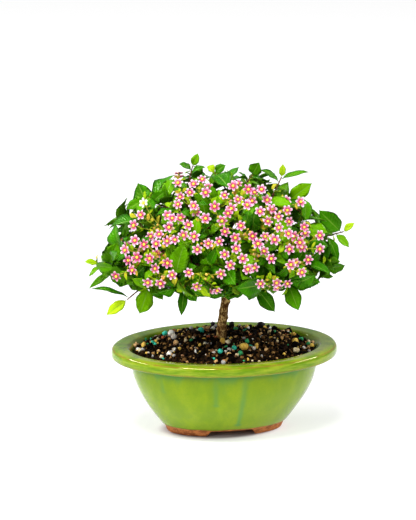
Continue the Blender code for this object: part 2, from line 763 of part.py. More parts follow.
def is_closed(made):
    """Whether each edge of an object's mesh lies between exactly two faces."""
    shape = bmesh.new()
    shape.from_mesh(made.data)
    closed = all(edge.is_manifold for edge in shape.edges)
    shape.free()
    return closed


def fused(name, solids, finish):
    """One closed body from overlapping solids. The second solver steps in where the first leaves a gap."""
    made = solid_object(name, solids[0], finish)
    boolean(made, solids[1:], "UNION")
    if not is_closed(made):
        bpy.data.objects.remove(made)
        made = solid_object(name, solids[0], finish)
        boolean(made, solids[1:], "UNION", "MANIFOLD")
    return made


# The pot


def oval_ring(half_length, height):
    """An ellipse at a height, set in from the rim's ellipse by the same amount all round."""
    inset = RIM_HALF_LENGTH - half_length
    angles = np.arange(POT_SIDES) * 2 * math.pi / POT_SIDES
    x = half_length * np.cos(angles)
    y = (RIM_HALF_WIDTH - inset) * np.sin(angles)
    return np.stack([x, y, np.full(POT_SIDES, height)], axis=1) + PLANT_SHIFT


def stacked(rings):
    """A closed solid from rings of equal size, each joined to the next, with a flat face over both ends."""
    sides = len(rings[0])
    faces = [tuple(range(sides))[::-1]]
    for level in range(len(rings) - 1):
        low = level * sides
        for k in range(sides):
            after = (k + 1) % sides
            faces.append((low + k, low + after, low + sides + after, low + sides + k))
    last = (len(rings) - 1) * sides
    faces.append(tuple(range(last, last + sides)))
    return np.vstack(rings), faces


def body_outside(height):
    """The bowl's outer half length at a height: a quarter sine wave from the foot up to the rim."""
    share = (height - BODY_LOW) / BODY_RISE
    return BODY_FOOT + BODY_SWELL * math.sin(math.pi / 2 * share)


def pot_outside():
    """(half length, height) up the outside and over the rim."""
    rim_low = POT_HEIGHT - RIM_BAND
    line = [(FOOT_HALF_LENGTH, 0.0), (FOOT_HALF_LENGTH + FOOT_LEAN, FOOT_HEIGHT), (BODY_FOOT, BODY_LOW)]
    line += [(body_outside(h * MM), h * MM) for h in (16, 27, 39)]
    line += [(body_outside(50 * MM), rim_low - 1.5 * MM), (RIM_HALF_LENGTH - RIM_ROUND, rim_low)]
    line += [(RIM_HALF_LENGTH, rim_low + RIM_ROUND), (RIM_HALF_LENGTH, POT_HEIGHT - RIM_ROUND)]
    line += [(RIM_HALF_LENGTH - RIM_ROUND, POT_HEIGHT)]
    return line


def pot_inside():
    """(half length, height) from the rim's mouth down the inside to the floor."""
    line = [(RIM_MOUTH + 1.2 * MM, POT_HEIGHT - 0.4 * MM), (RIM_MOUTH - 1.5 * MM, POT_HEIGHT - 2.6 * MM)]
    line += [(64.4 * MM, 56.0 * MM)]
    line += [(body_outside(h * MM) - WALL, h * MM) for h in (38, 18)]
    line += [(40.0 * MM, FLOOR_TOP + 0.8 * MM), (36.5 * MM, FLOOR_TOP)]
    return line


def make_pot(glaze):
    """The bowl, rim and foot in one piece. A notch crosses the foot, and two drains pierce the floor."""
    made = solid_object("pot", stacked([oval_ring(a, h) for a, h in pot_outside() + pot_inside()]), glaze)
    inner = FOOT_HALF_LENGTH - FOOT_RING
    recess = stacked([oval_ring(inner, -FOOT_HEIGHT), oval_ring(inner - 1 * MM, FOOT_HEIGHT)])
    lean = (NOTCH_HALF_LOW - NOTCH_HALF_HIGH) / NOTCH_HEIGHT
    corners = []
    for side, height in ((-1, -2 * MM), (-1, NOTCH_HEIGHT), (1, NOTCH_HEIGHT), (1, -2 * MM)):
        corners.append((side * (NOTCH_HALF_LOW - lean * height), 0, height))
    reach = RIM_HALF_WIDTH * np.array((0, 1, 0))
    notch = stacked([PLANT_SHIFT + np.array(corners) - reach, PLANT_SHIFT + np.array(corners) + reach])
    drains = []
    for middle in drain_middles():
        drains.append(tube([middle, middle + UP * 3 * FLOOR_TOP], [DRAIN_RADIUS] * 2, DRAIN_SIDES))
    boolean(made, [recess, notch] + drains, "DIFFERENCE")
    return made


def drain_middles():
    """The ground below the middle of each drain hole, left then right."""
    return [PLANT_SHIFT + np.array((side * DRAIN_OFFSET, 0, 0)) for side in (-1, 1)]


# Inside the pot


def make_screens(plastic):
    """A small square of plastic mesh over each drain hole."""
    for ground, name in zip(drain_middles(), ("drain_screen_left", "drain_screen_right")):
        middle = ground + UP * (FLOOR_TOP + SEAT_GAP)
        made = solid_object(name, block(middle, SCREEN_SIDE, SCREEN_THICK), plastic)
        holes = []
        for i in (-1, 1):
            for j in (-1, 1):
                place = middle + np.array((i * SCREEN_PITCH, j * SCREEN_PITCH, -SCREEN_THICK))
                holes.append(block(place, SCREEN_HOLE, 3 * SCREEN_THICK))
        boolean(made, holes, "DIFFERENCE")


def block(middle, side, height):
    """A square block standing on the middle of its underside."""
    corners = np.array([(-1, -1, 0), (1, -1, 0), (1, 1, 0), (-1, 1, 0)]) * (side / 2)
    return stacked([middle + corners, middle + corners + UP * height])


def soil_height(share, clod):
    """The soil's height at a share of the way out from the mound's middle, plus a clod's bump."""
    return SOIL_EDGE + SOIL_MOUND * (1 - share**5) ** 0.9 + clod


def make_soil(earth):
    """The soil in the bowl: a mound of clods and grit, a hole for the stub and a bed for each screen."""
    rng = random.Random(GROWTH_SEED + 1)
    rings = [oval_ring(a - SOIL_INSET, h + SEAT_GAP) for a, h in reversed(pot_inside()) if h < SOIL_EDGE]
    outer = oval_ring(SOIL_HALF_LENGTH, SOIL_EDGE - SOIL_CLOD)
    rings.append(outer)
    for share in SOIL_RINGS:
        ring = PLANT_SHIFT + share * (outer - PLANT_SHIFT)
        clods = [rng.uniform(-1, 1) * SOIL_CLOD for _ in range(POT_SIDES)]
        ring[:, 2] = [soil_height(share, clod) for clod in clods]
        rings.append(ring)
    made = solid_object("soil", stacked(rings), earth)
    grit = []
    for k in range(GRIT_COUNT):
        angle = k * GOLDEN_ANGLE
        share = 0.30 + 0.56 * math.sqrt((k + 0.5) / GRIT_COUNT)
        x = share * SOIL_HALF_LENGTH * math.cos(angle)
        y = share * (SOIL_HALF_LENGTH - RIM_HALF_LENGTH + RIM_HALF_WIDTH) * math.sin(angle)
        radii = np.array([rng.uniform(1.8, 2.9), rng.uniform(1.6, 2.4), rng.uniform(1.5, 2.0)]) * MM
        place = PLANT_SHIFT + np.array((x, y, soil_height(share, -0.2 * MM)))
        grit.append(ball(place, radii, rng.uniform(0, 3.1)))
    boolean(made, grit, "UNION")
    across, height, _ = TRUNK_LINE[0]
    bottom = in_frame([(across, 0, height - SEAT_GAP)])[0]
    hole = tube([bottom, bottom + UP * POT_HEIGHT], [STUB_HOLE_RADIUS] * 2, TRUNK_SIDES)
    beds = []
    for ground in drain_middles():
        place = ground + UP * (FLOOR_TOP - SEAT_GAP)
        beds.append(block(place, SCREEN_SIDE + 2 * SEAT_GAP, SCREEN_THICK + 3 * SEAT_GAP))
    boolean(made, [hole] + beds, "DIFFERENCE")


# The tree


def make_trunk(primaries, sprays, bark):
    """Trunk, primaries and limbs grown as one piece, with the scars of shed branches as knots."""
    line, radii = trunk_line()
    trunk, faces = tube(line, radii, TRUNK_SIDES)
    solids = [(in_frame(trunk), faces)]
    for height, angle in TRUNK_KNOTS:
        across = np.interp(height, line[:, 2], line[:, 0])
        radius = np.interp(height, line[:, 2], radii)
        out = np.array((math.cos(angle), -math.sin(angle), 0))
        root = np.array((across, 0, height))
        knot, faces = tube([root, root + out * (radius + 0.9 * MM)], [1.3 * MM, 0.7 * MM], 5)
        solids.append((in_frame(knot), faces))
    for end in primaries:
        points, faces = tube([FORK - UP * 2 * MM, end + 0.6 * MM * unit(end - FORK)], PRIMARY_RADIUS, 6)
        solids.append((in_frame(points), faces))
    for spray in sprays:
        points, faces = tube(spray.limb, np.linspace(*LIMB_RADIUS, 3), 4)
        solids.append((in_frame(points), faces))
    return fused("trunk", solids, bark)


def make_spray(number, spray, green):
    """A leafy spray: its stem, its shoots and every leaf on them, grown as one piece."""
    solids = [tube(spray.stem, np.linspace(*STEM_RADIUS, 3), 4)]
    for shoot in spray.shoots:
        solids.append(tube(shoot.line, shoot_radii(len(shoot.line)), 4))
    solids += [leaf_solid(leaf) for leaf in spray.leaves]
    return fused(f"spray_{number:02d}", [(in_frame(points), faces) for points, faces in solids], green)


def make_umbel(number, umbel, pink):
    """An umbel: its stalk and every bloom on a stalk of its own."""
    solids = [tube(umbel.peduncle, np.linspace(*PEDUNCLE_RADIUS, 3), 4)]
    solids += [bloom_solid(bloom, umbel.hub) for bloom in umbel.blooms]
    return fused(f"umbel_{number:02d}", [(in_frame(points), faces) for points, faces in solids], pink)


def main():
    for old in list(bpy.data.objects):
        bpy.data.objects.remove(old)
    make_pot(material("green_glaze", (0.33, 0.48, 0.04), 0.2))
    make_screens(material("black_plastic", (0.02, 0.02, 0.02), 0.5))
    make_soil(material("soil", (0.06, 0.035, 0.02), 0.95))
    primaries, sprays, umbels = grow()
    make_trunk(primaries, sprays, material("bark", (0.24, 0.16, 0.09), 0.85))
    green = material("leaf_green", (0.06, 0.22, 0.02), 0.35)
    for number, spray in enumerate(sprays, 1):
        make_spray(number, spray, green)
    pink = material("bloom_pink", (0.85, 0.32, 0.52), 0.6)
    for number, umbel in enumerate(umbels, 1):
        make_umbel(number, umbel, pink)
    leaves = sum(len(spray.leaves) for spray in sprays)
    blooms = sum(len(umbel.blooms) for umbel in umbels)
    print(f"{len(sprays)} sprays, {leaves} leaves, {len(umbels)} umbels, {blooms} blooms")


main()
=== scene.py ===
"""Barbados cherry bonsai, dressed: the glazed oval pot, its soil and grit, its bark, leaves and blooms.

The tree grows here by the same rule and the same random draws as the solids, so that each fine leaf and bloom
lies on the solid that it stands for. Small leaves, twigs, buds, crumbs and gravel are added to them.
Lengths are in metres, +Z is up, and the pot's long axis lies along X.
"""

import math
import random
from dataclasses import dataclass, field

import bmesh
import bpy
import numpy as np
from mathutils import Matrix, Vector
from mathutils.bvhtree import BVHTree


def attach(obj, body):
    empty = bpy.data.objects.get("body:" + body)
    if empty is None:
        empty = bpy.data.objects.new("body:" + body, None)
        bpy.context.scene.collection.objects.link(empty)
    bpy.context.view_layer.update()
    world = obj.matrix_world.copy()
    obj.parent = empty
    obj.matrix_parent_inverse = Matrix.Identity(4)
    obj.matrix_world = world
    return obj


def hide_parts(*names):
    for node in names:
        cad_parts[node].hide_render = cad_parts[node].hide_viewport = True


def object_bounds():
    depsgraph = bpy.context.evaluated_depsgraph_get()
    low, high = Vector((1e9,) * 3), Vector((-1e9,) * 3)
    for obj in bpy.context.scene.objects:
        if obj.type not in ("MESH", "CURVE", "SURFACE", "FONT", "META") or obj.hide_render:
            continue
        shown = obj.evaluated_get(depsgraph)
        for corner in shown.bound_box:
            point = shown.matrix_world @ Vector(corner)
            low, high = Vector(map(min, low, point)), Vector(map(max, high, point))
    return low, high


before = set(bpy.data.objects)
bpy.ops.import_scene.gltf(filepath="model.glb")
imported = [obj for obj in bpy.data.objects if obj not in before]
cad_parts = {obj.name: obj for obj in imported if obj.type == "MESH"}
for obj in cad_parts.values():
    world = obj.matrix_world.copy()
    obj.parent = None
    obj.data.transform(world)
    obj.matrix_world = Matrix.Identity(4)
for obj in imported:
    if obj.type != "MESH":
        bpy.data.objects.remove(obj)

CAD_BOX = [list(corner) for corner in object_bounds()]

MM = 0.001
UP = np.array((0.0, 0.0, 1.0))
TO_VIEWER = np.array((0.0, -1.0, 0.0))
GOLDEN_ANGLE = math.pi * (3 - math.sqrt(5))

# The pot: every level is an ellipse set in from the rim's ellipse by the same amount all round
RIM_HALF_LENGTH = 82.5 * MM
RIM_HALF_WIDTH = 66.0 * MM
INSET = RIM_HALF_LENGTH - RIM_HALF_WIDTH
BODY_FOOT = 46.2 * MM
BODY_SWELL = 21.8 * MM
BODY_LOW = 6.5 * MM
BODY_RISE = 45.0 * MM
NOTCH_HALF_LOW = 18.0 * MM
NOTCH_HEIGHT = 4.8 * MM
DRAIN_RADIUS = 5.0 * MM
DRAIN_OFFSET = 17.0 * MM

# The soil
SOIL_EDGE = 58.5 * MM
SOIL_MOUND = 9.0 * MM
SOIL_HALF_LENGTH = 65.1 * MM

# The trunk, from its buried stub to the fork, as (across, height, radius) from the best side
TRUNK_LINE = (
    (-2.4 * MM, 48.0 * MM, 3.9 * MM),
    (-2.4 * MM, 66.0 * MM, 3.9 * MM),
    (-2.3 * MM, 70.0 * MM, 3.6 * MM),
    (-1.6 * MM, 80.0 * MM, 3.3 * MM),
    (-0.2 * MM, 90.0 * MM, 3.0 * MM),
    (1.2 * MM, 99.0 * MM, 2.9 * MM),
    (2.0 * MM, 107.0 * MM, 2.6 * MM),
)
TRUNK_KNOTS = ((78.0 * MM, 2.7), (83.0 * MM, 0.3), (95.0 * MM, 0.2), (88.0 * MM, 4.6))
TRUNK_SIDES = 10

# The crown, seen from its best side: X across, Y away, Z up, from the pot's axis at the ground
BEST_SIDE_TURN = math.radians(12.0)
PLANT_SHIFT = np.array((3.8 * MM, -1.2 * MM, 0.0))
CROWN_MIDDLE = np.array((-5.0, 0.0, 126.0)) * MM
CROWN_HALF = np.array((87.0, 72.0, 66.0)) * MM
CROWN_DROP = 16.0 * MM
FORK = np.array((2.0, 0.0, 106.0)) * MM
PRIMARY_COUNT = 6
SPRAY_COUNT = 23
SHOOT_COUNT = 46
LEAF_TARGETS = 142
PRIMARY_REACH = 0.24
LIMB_REACH = 0.43
STEM_REACH = 0.62
TIP_REACH = 0.87
HUB_REACH = 0.86
BLOOM_REACH = (0.95, 1.06)
SHOOT_STEP = 2.4 * MM
JOINT_GAP = 0.4 * MM
CLEARANCE = 0.35 * MM
PRIMARY_RADIUS = (2.2 * MM, 1.5 * MM)
LIMB_RADIUS = (1.4 * MM, 1.0 * MM)
STEM_RADIUS = (1.0 * MM, 0.85 * MM)
SHOOT_RADIUS = (0.9 * MM, 0.65 * MM)
PEDUNCLE_RADIUS = (0.6 * MM, 0.75 * MM)
PEDUNCLE_LENGTH = 7.0 * MM
HUB_CAP = 0.8 * MM
PEDICEL_RADIUS = 0.35 * MM
LEAF_LENGTH = (15.0 * MM, 27.0 * MM)
LARGE_LEAF_LENGTH = 24.0 * MM
BLADE_THICK = 0.6 * MM
LEAF_STALK_HALF = 0.38 * MM
LEAF_MIDDLE = 11.0 * MM
STALK_SHARE = 0.11
LEAF_CLEAR_SHARE = 0.13
ROOT_TAPER = 0.6
BLOOM_RADIUS = 4.1 * MM
PETALS = 6
PETAL_NOTCH = 0.5
PETAL_LIFT = 0.16
BLOOM_BOSS = 1.0 * MM
BLOOM_DEPTH = 1.2 * MM
BLOOM_SPACING = 8.0 * MM
UMBEL_RADIUS = 11.0 * MM
SEEN_FROM = math.radians(14.0)
BACK_UMBELS = 4
BACK_UMBEL_SPACING = 34.0 * MM
BLOOM_DARTS = 20000
BLOOMS_PER_BACK_UMBEL = 3
GROWTH_SEED = 11

# Shoots that stand out of the crown, as seen from the best side, in mm: where the shoot ends, then its leaves
# as (share of the way along the shoot, leaf tip, leaf width, how far it faces the viewer rather than up)
ACCENT_SHOOTS = (
    ((-91, -6, 124), ((0.80, (-77, -14, 142), 15, 0.9), (1.0, (-101, -8, 126), 5, 0.5),
                      (0.9, (-98, -9, 115), 4, 0.4), (0.62, (-98, -12, 107), 5, 0.6))),
    ((-70, -24, 102), ((0.92, (-97, -24, 110), 6, 0.2), (1.0, (-85, -30, 92), 8, 0.8))),
    ((-55, -33, 113), ((0.96, (-61, -38, 95), 13, 1.0), (0.75, (-44, -40, 106), 9, 0.8))),
    ((-27, -34, 115), ((0.9, (-31, -40, 94), 7, 0.8), (0.95, (-20, -42, 105), 10, 0.9))),
    ((3, -18, 114), ((0.9, (6, -26, 104), 15, 0.8),)),
    ((24, -36, 113), ((0.95, (36, -44, 98), 11, 0.9), (0.7, (14, -42, 108), 9, 0.7))),
    ((49, -32, 116), ((0.9, (53, -40, 98), 12, 0.9), (0.95, (69, -36, 118), 11, 0.5))),
    ((86, 6, 145), ((0.96, (68, 2, 162), 14, 0.9), (1.0, (94, 4, 152), 5, 0.6),
                    (0.85, (90, -2, 135), 6, 0.5), (0.55, (73, -8, 126), 12, 0.8),
                    (0.7, (82, -4, 125), 7, 0.6))),
    ((46, 2, 169), ((1.0, (63, -2, 183), 11, 0.9), (0.85, (57, -10, 168), 8, 0.6))),
    ((41, 0, 187), ((0.95, (61, -2, 191), 6, 0.3), (0.9, (25, 2, 192), 6, 0.3),
                    (1.0, (42, -1, 197), 5, 0.7))),
    ((-57, -4, 171), ((1.0, (-71, -8, 165), 8, 0.7), (0.85, (-43, -8, 178), 10, 0.6))),
    ((-23, 0, 195), ((1.0, (-19, -2, 205), 6, 0.8), (0.93, (-33, -2, 197), 6, 0.4),
                     (0.9, (-14, -3, 196), 5, 0.4))),
    ((-7, 4, 189), ((1.0, (-13, 2, 194), 7, 0.5), (1.0, (1, 3, 195), 7, 0.5))),
    ((20, 2, 188), ((1.0, (25, -1, 198), 10, 0.8),)),
)

# Umbels as the best side shows them from SEEN_FROM above level, in mm: across, up the view, and blooms
FRONT_UMBELS = (
    (-14, 175, 4), (-28, 170, 3), (7, 176, 3), (21, 172, 3), (39, 169, 2), (34, 162, 4), (28, 152, 5),
    (7, 163, 4), (-2, 155, 4), (-21, 154, 5), (-33, 156, 4), (-53, 150, 4), (-27, 145, 5), (-44, 141, 5),
    (-67, 132, 3), (-68, 122, 4), (-50, 129, 4), (14, 144, 3), (32, 143, 5), (48, 138, 5), (-12, 137, 3),
    (7, 129, 5), (27, 131, 4), (61, 138, 3), (49, 121, 5), (39, 111, 4), (-51, 115, 4), (-19, 114, 5),
)


# Vectors and directions


def unit(vector):
    """A vector's direction."""
    vector = np.asarray(vector, float)
    return vector / np.linalg.norm(vector)


def across_of(direction, wanted):
    """The part of a wanted direction that lies square to another."""
    direction = unit(direction)
    flat = wanted - direction * np.dot(wanted, direction)
    if np.linalg.norm(flat) < 1e-6:
        flat = np.cross(direction, (0.31, 0.87, 0.38))
    return unit(flat)


def circle(count):
    """Angles spread evenly round a circle."""
    return np.arange(count) * 2 * math.pi / count


def turned(vector, axis, angle):
    """A vector turned about an axis by an angle, by Rodrigues' rule."""
    axis = unit(axis)
    return (
        vector * math.cos(angle)
        + np.cross(axis, vector) * math.sin(angle)
        + axis * np.dot(axis, vector) * (1 - math.cos(angle))
    )


def spread(count, lowest, highest, turn):
    """Directions spread evenly over a band of the sphere, each a golden angle on from the last."""
    rise = highest - (np.arange(count) + 0.5) / count * (highest - lowest)
    angle = turn + np.arange(count) * GOLDEN_ANGLE
    flat = np.sqrt(1 - rise**2)
    return np.stack([flat * np.cos(angle), flat * np.sin(angle), rise], axis=1)


def crown_half(direction):
    """The crown's half sizes on the side that a direction points to: it hangs less than it rises."""
    half = CROWN_HALF.copy()
    if direction[2] < 0:
        half[2] = CROWN_DROP
    return half


def crown_point(direction, reach):
    """The point a share of the way from the fork to the crown's outside, in a direction from its middle."""
    outside = CROWN_MIDDLE + direction * crown_half(direction)
    return FORK + reach * (outside - FORK)


def crown_normal(direction):
    """The way the crown's outside faces at a direction from its middle."""
    return unit(direction / crown_half(direction))


def direction_of(point):
    """The direction from the crown's middle whose outside lies beyond a point."""
    offset = np.asarray(point, float) - CROWN_MIDDLE
    return unit(offset / crown_half(offset))


# Plain closed shapes, as points and faces


def tube(line, radii, sides):
    """A closed tube along a line of points, with a ring square to the line at each point and flat ends."""
    line = np.asarray(line, float)
    steps = np.diff(line, axis=0)
    tangents = np.vstack([steps[:1], steps[:-1] + steps[1:], steps[-1:]])
    angles = circle(sides)
    side = across_of(tangents[0], UP + 0.37 * TO_VIEWER)
    points = []
    for centre, tangent, radius in zip(line, tangents, radii):
        side = across_of(tangent, side)
        other = np.cross(unit(tangent), side)
        ring = np.outer(np.cos(angles), side) + np.outer(np.sin(angles), other)
        points.extend(centre + radius * ring)
    faces = [tuple(range(sides))[::-1]]
    for ring in range(len(line) - 1):
        low = ring * sides
        for k in range(sides):
            after = (k + 1) % sides
            faces.append((low + k, low + after, low + sides + after, low + sides + k))
    faces.append(tuple(range((len(line) - 1) * sides, len(line) * sides)))
    return np.array(points), faces


# How the tree grows. The same rule lays out the finer leaves and blooms of the dressed model.


@dataclass
class Leaf:
    """A leaf on its stalk: its root on the twig's axis, how it sets out and faces, its bend and its waves."""

    base: np.ndarray
    forward: np.ndarray
    facing: np.ndarray
    length: float
    width: float
    bend: float
    wave: float


@dataclass
class Shoot:
    line: np.ndarray
    accent: tuple = ()


@dataclass
class Spray:
    direction: np.ndarray
    stem: np.ndarray
    limb: np.ndarray
    shoots: list = field(default_factory=list)
    leaves: list = field(default_factory=list)


@dataclass
class Bloom:
    centre: np.ndarray
    facing: np.ndarray
    radius: float
    turn: float


@dataclass
class Umbel:
    peduncle: np.ndarray
    hub: np.ndarray
    wanted: int
    blooms: list = field(default_factory=list)


def leaf_half_width(leaf, along):
    """Half the leaf's width at a share of its length: a thin stalk, then an oval blade with a point."""
    blade = np.clip((along - STALK_SHARE) / (1 - STALK_SHARE), 0, 1)
    oval = np.sin(math.pi * blade**0.86) ** 0.82
    return np.maximum(leaf.width / 2 * oval, LEAF_STALK_HALF * np.minimum(1, 8 * (1 - along)))


def leaf_surface(leaf, along, across):
    """Points of the leaf's middle surface and its facing there, at shares along and across (-1 to 1) it.
    The midrib is an arc that bends away from the leaf's face. Both halves fold up from it, and wave."""
    along, across = np.broadcast_arrays(np.asarray(along, float), np.asarray(across, float))
    side = np.cross(leaf.facing, leaf.forward)
    turn = leaf.bend * along
    ahead = leaf.length * np.sin(turn) / leaf.bend
    fall = leaf.length * (1 - np.cos(turn)) / leaf.bend
    facing = np.cos(turn)[..., None] * leaf.facing + np.sin(turn)[..., None] * leaf.forward
    half = leaf_half_width(leaf, along)
    half_blade = np.where(along > STALK_SHARE, half, 0)
    fold = 0.30 * np.abs(across) * half_blade
    wave = np.sin(3.1 * math.pi * along + leaf.wave + 1.3 * across)
    ripple = 0.16 * across * np.abs(across) * half_blade * wave
    points = (
        leaf.base
        + ahead[..., None] * leaf.forward
        - fall[..., None] * leaf.facing
        + (across * half)[..., None] * side
        + (fold + ripple)[..., None] * facing
    )
    return points, facing


# A large leaf's rows and a small one's, as (along, across) of each point, then the faces between them
LARGE_LEAF = (
    ((0, 1), (0, -1), (STALK_SHARE, 1), (STALK_SHARE, -1), (0.38, 1), (0.38, 0), (0.38, -1),
     (0.72, 1), (0.72, 0), (0.72, -1), (1, 0)),
    ((0, 1, 3, 2), (2, 3, 5), (2, 5, 4), (3, 6, 5), (4, 5, 8), (4, 8, 7), (5, 6, 9), (5, 9, 8),
     (7, 8, 10), (8, 9, 10)),
    (0, 1, 3, 6, 9, 10, 7, 4, 2),
)
SMALL_LEAF = (
    ((0, 1), (0, -1), (STALK_SHARE, 1), (STALK_SHARE, -1), (0.45, 1), (0.45, 0), (0.45, -1), (1, 0)),
    ((0, 1, 3, 2), (2, 3, 5), (2, 5, 4), (3, 6, 5), (4, 5, 7), (5, 6, 7)),
    (0, 1, 3, 6, 7, 4, 2),
)


def leaf_solid(leaf, start=0.0, swell=0.0):
    """A leaf as a thin closed blade of even thickness, both faces split alike. Its root thins in the twig."""
    stations, top, edge = LARGE_LEAF if leaf.length > LARGE_LEAF_LENGTH else SMALL_LEAF
    along, across = np.array(stations).T
    along = start + (1 - start) * along
    points, facing = leaf_surface(leaf, along, across)
    if swell:
        middle = leaf_surface(leaf, along, 0 * across)[0]
        outward = points - middle
        reach = np.linalg.norm(outward, axis=1, keepdims=True)
        points = points + swell * outward / np.maximum(reach, 1e-6)
        points[-1] += swell * unit(points[-1] - middle[-2])
    half = (BLADE_THICK / 2 + swell) * facing
    if not start:
        half[:2] *= ROOT_TAPER
    count = len(points)
    faces = list(top) + [tuple(count + i for i in f[::-1]) for f in top]
    for a, b in zip(edge, edge[1:] + edge[:1]):
        faces.append((b, a, a + count, b + count))
    return np.vstack([points + half, points - half]), faces


def bloom_solid(bloom, hub=None, swell=0.0):
    """A shallow funnel with a star's outline and a raised middle: six petals above, a cone below. Where a
    hub is given, the cone goes on as the three-sided stalk that the bloom stands on."""
    side = across_of(bloom.facing, UP)
    other = np.cross(bloom.facing, side)
    count = 2 * PETALS
    angles = bloom.turn + np.arange(count) * math.pi / PETALS
    tips = np.arange(count) % 2 == 0
    radii = np.where(tips, bloom.radius, PETAL_NOTCH * bloom.radius) + swell
    lift = np.where(tips, PETAL_LIFT, 0.0) * bloom.radius
    outline = (
        bloom.centre
        + (radii * np.cos(angles))[:, None] * side
        + (radii * np.sin(angles))[:, None] * other
        + lift[:, None] * bloom.facing
    )
    boss = bloom.centre + (BLOOM_BOSS + swell) * bloom.facing
    throat = bloom.centre - (BLOOM_DEPTH + swell) * bloom.facing
    faces = [(k, (k + 1) % count, count) for k in range(count)]
    if hub is None:
        faces += [((k + 1) % count, k, count + 1) for k in range(count)]
        return np.vstack([outline, boss, throat]), faces
    points = [outline, boss]
    ring_angles = bloom.turn + circle(3)
    for middle, ahead in ((throat, bloom.facing), (hub, unit(bloom.centre - hub))):
        first = across_of(ahead, side)
        second = np.cross(ahead, first)
        ring = np.outer(np.cos(ring_angles), first) + np.outer(np.sin(ring_angles), second)
        points.append(middle + PEDICEL_RADIUS * ring)
    upper, lower = count + 1, count + 4
    share = count // 3
    for k in range(3):
        after = (k + 1) % 3
        first_edge = k * share - share // 2
        for edge in range(first_edge, first_edge + share):
            faces.append(((edge + 1) % count, edge % count, upper + k))
        faces.append(((first_edge + share) % count, upper + k, upper + after))
        faces.append((upper + after, upper + k, lower + k, lower + after))
    faces.append((lower + 2, lower + 1, lower))
    return np.vstack(points), faces


class Crowd:
    """What already stands in the crown. A new piece is let in only where it crosses nothing."""

    def __init__(self):
        self.taken = []

    @staticmethod
    def _body(solid):
        points, faces = solid
        middle = (points.min(axis=0) + points.max(axis=0)) / 2
        reach = np.linalg.norm(points - middle, axis=1).max()
        return BVHTree.FromPolygons(points.tolist(), faces), middle, reach

    def free(self, solid, owner, own_solid=None):
        """Whether a solid crosses nothing of other owners, and a smaller form of it nothing of its own."""
        tree, middle, reach = self._body(solid)
        own_tree = self._body(own_solid)[0] if own_solid is not None else None
        for other_owner, forms in self.taken:
            (full, full_middle, full_reach), own_form = forms
            if np.linalg.norm(full_middle - middle) > full_reach + reach:
                continue
            if other_owner != owner and tree.overlap(full):
                return False
            if other_owner == owner and own_tree is not None and own_tree.overlap(own_form[0]):
                return False
        return True

    def take(self, solid, owner, own_solid=None):
        full = self._body(solid)
        self.taken.append((owner, (full, self._body(own_solid) if own_solid is not None else full)))


def bent_line(start, end, swing, count):
    """Points on a shallow arc from start to end, pushed sideways by a swing that is widest half way."""
    shares = np.linspace(0, 1, count)[:, None]
    return start + shares * (end - start) + np.sin(math.pi * shares) * swing


def random_vector(rng, size):
    return np.array([rng.uniform(-size, size) for _ in range(3)])


def nearest(direction, others):
    return int(np.argmax(np.asarray(others) @ unit(direction)))


def wood_line(direction, start, sway):
    """A limb from a primary's end to the joint, and the stem that goes on from it 0.4 mm further on."""
    stations = [LIMB_REACH - 0.09, LIMB_REACH, STEM_REACH - 0.1, STEM_REACH]
    low, joint, middle, top = [
        crown_point(direction, reach) + sway * math.sin(math.pi * reach / STEM_REACH) for reach in stations
    ]
    limb = np.array([start, low, joint])
    return limb, np.array([joint + JOINT_GAP * unit(middle - joint), middle, top])


def trunk_line():
    """The trunk's axis and radii, from its buried stub to the fork."""
    across, height, radii = np.array(TRUNK_LINE).T
    return np.stack([across, 0 * across, height], axis=1), radii


def grow_wood(rng, crowd):
    """Primaries rise from the fork, each limb leaves the nearest primary, and a stem goes on from it."""
    crowd.take(tube(*trunk_line(), TRUNK_SIDES), "wood")
    primaries = [crown_point(d, PRIMARY_REACH) for d in spread(PRIMARY_COUNT, -0.1, 0.98, 0.4)]
    primary_directions = [unit(p - FORK) for p in primaries]
    for end in primaries:
        crowd.take(tube([FORK, end], PRIMARY_RADIUS, 6), "wood")
    sprays = []
    for owner, direction in enumerate(spread(SPRAY_COUNT, -0.42, 0.97, 1.1)):
        start = primaries[nearest(crown_point(direction, LIMB_REACH) - FORK, primary_directions)]
        for attempt in range(30):
            limb, stem = wood_line(direction, start, random_vector(rng, (2.2 + 0.2 * attempt) * MM))
            limb_solid = tube(limb, np.linspace(*LIMB_RADIUS, 3) + CLEARANCE, 4)
            stem_solid = tube(stem, np.linspace(*STEM_RADIUS, 3) + CLEARANCE, 4)
            if crowd.free(limb_solid, "wood") and crowd.free(stem_solid, owner):
                break
        crowd.take(tube(limb, np.linspace(*LIMB_RADIUS, 3), 4), "wood")
        crowd.take(tube(stem, np.linspace(*STEM_RADIUS, 3), 4), owner)
        sprays.append(Spray(direction=direction, limb=limb, stem=stem))
    return primaries, sprays


def grow_shoots(rng, crowd, sprays):
    """Shoots leave the nearest stem one after another and end all over the crown, the set ones first."""
    directions = [s.direction for s in sprays]
    ends = [(np.array(end) * MM, leaves) for end, leaves in ACCENT_SHOOTS]
    for direction in spread(SHOOT_COUNT, -0.5, 0.97, 2.3):
        ends.append((crown_point(direction, TIP_REACH + rng.uniform(-0.04, 0.05)), ()))
    for wanted, leaves in ends:
        owner = nearest(direction_of(wanted), directions)
        spray = sprays[owner]
        outward = unit(spray.stem[-1] - spray.stem[-2])
        start = spray.stem[-1] - (0.4 * MM + SHOOT_STEP * len(spray.shoots)) * outward
        for attempt in range(30):
            end = wanted + random_vector(rng, 0.3 * MM * attempt)
            bow = across_of(end - start, outward + random_vector(rng, 0.4 + 0.1 * attempt))
            line = bent_line(start, end, 0.10 * np.linalg.norm(end - start) * bow, 3)
            if crowd.free(tube(line, shoot_radii(3) + CLEARANCE, 4), owner):
                crowd.take(tube(line, shoot_radii(3), 4), owner)
                spray.shoots.append(Shoot(line=line, accent=leaves))
                break


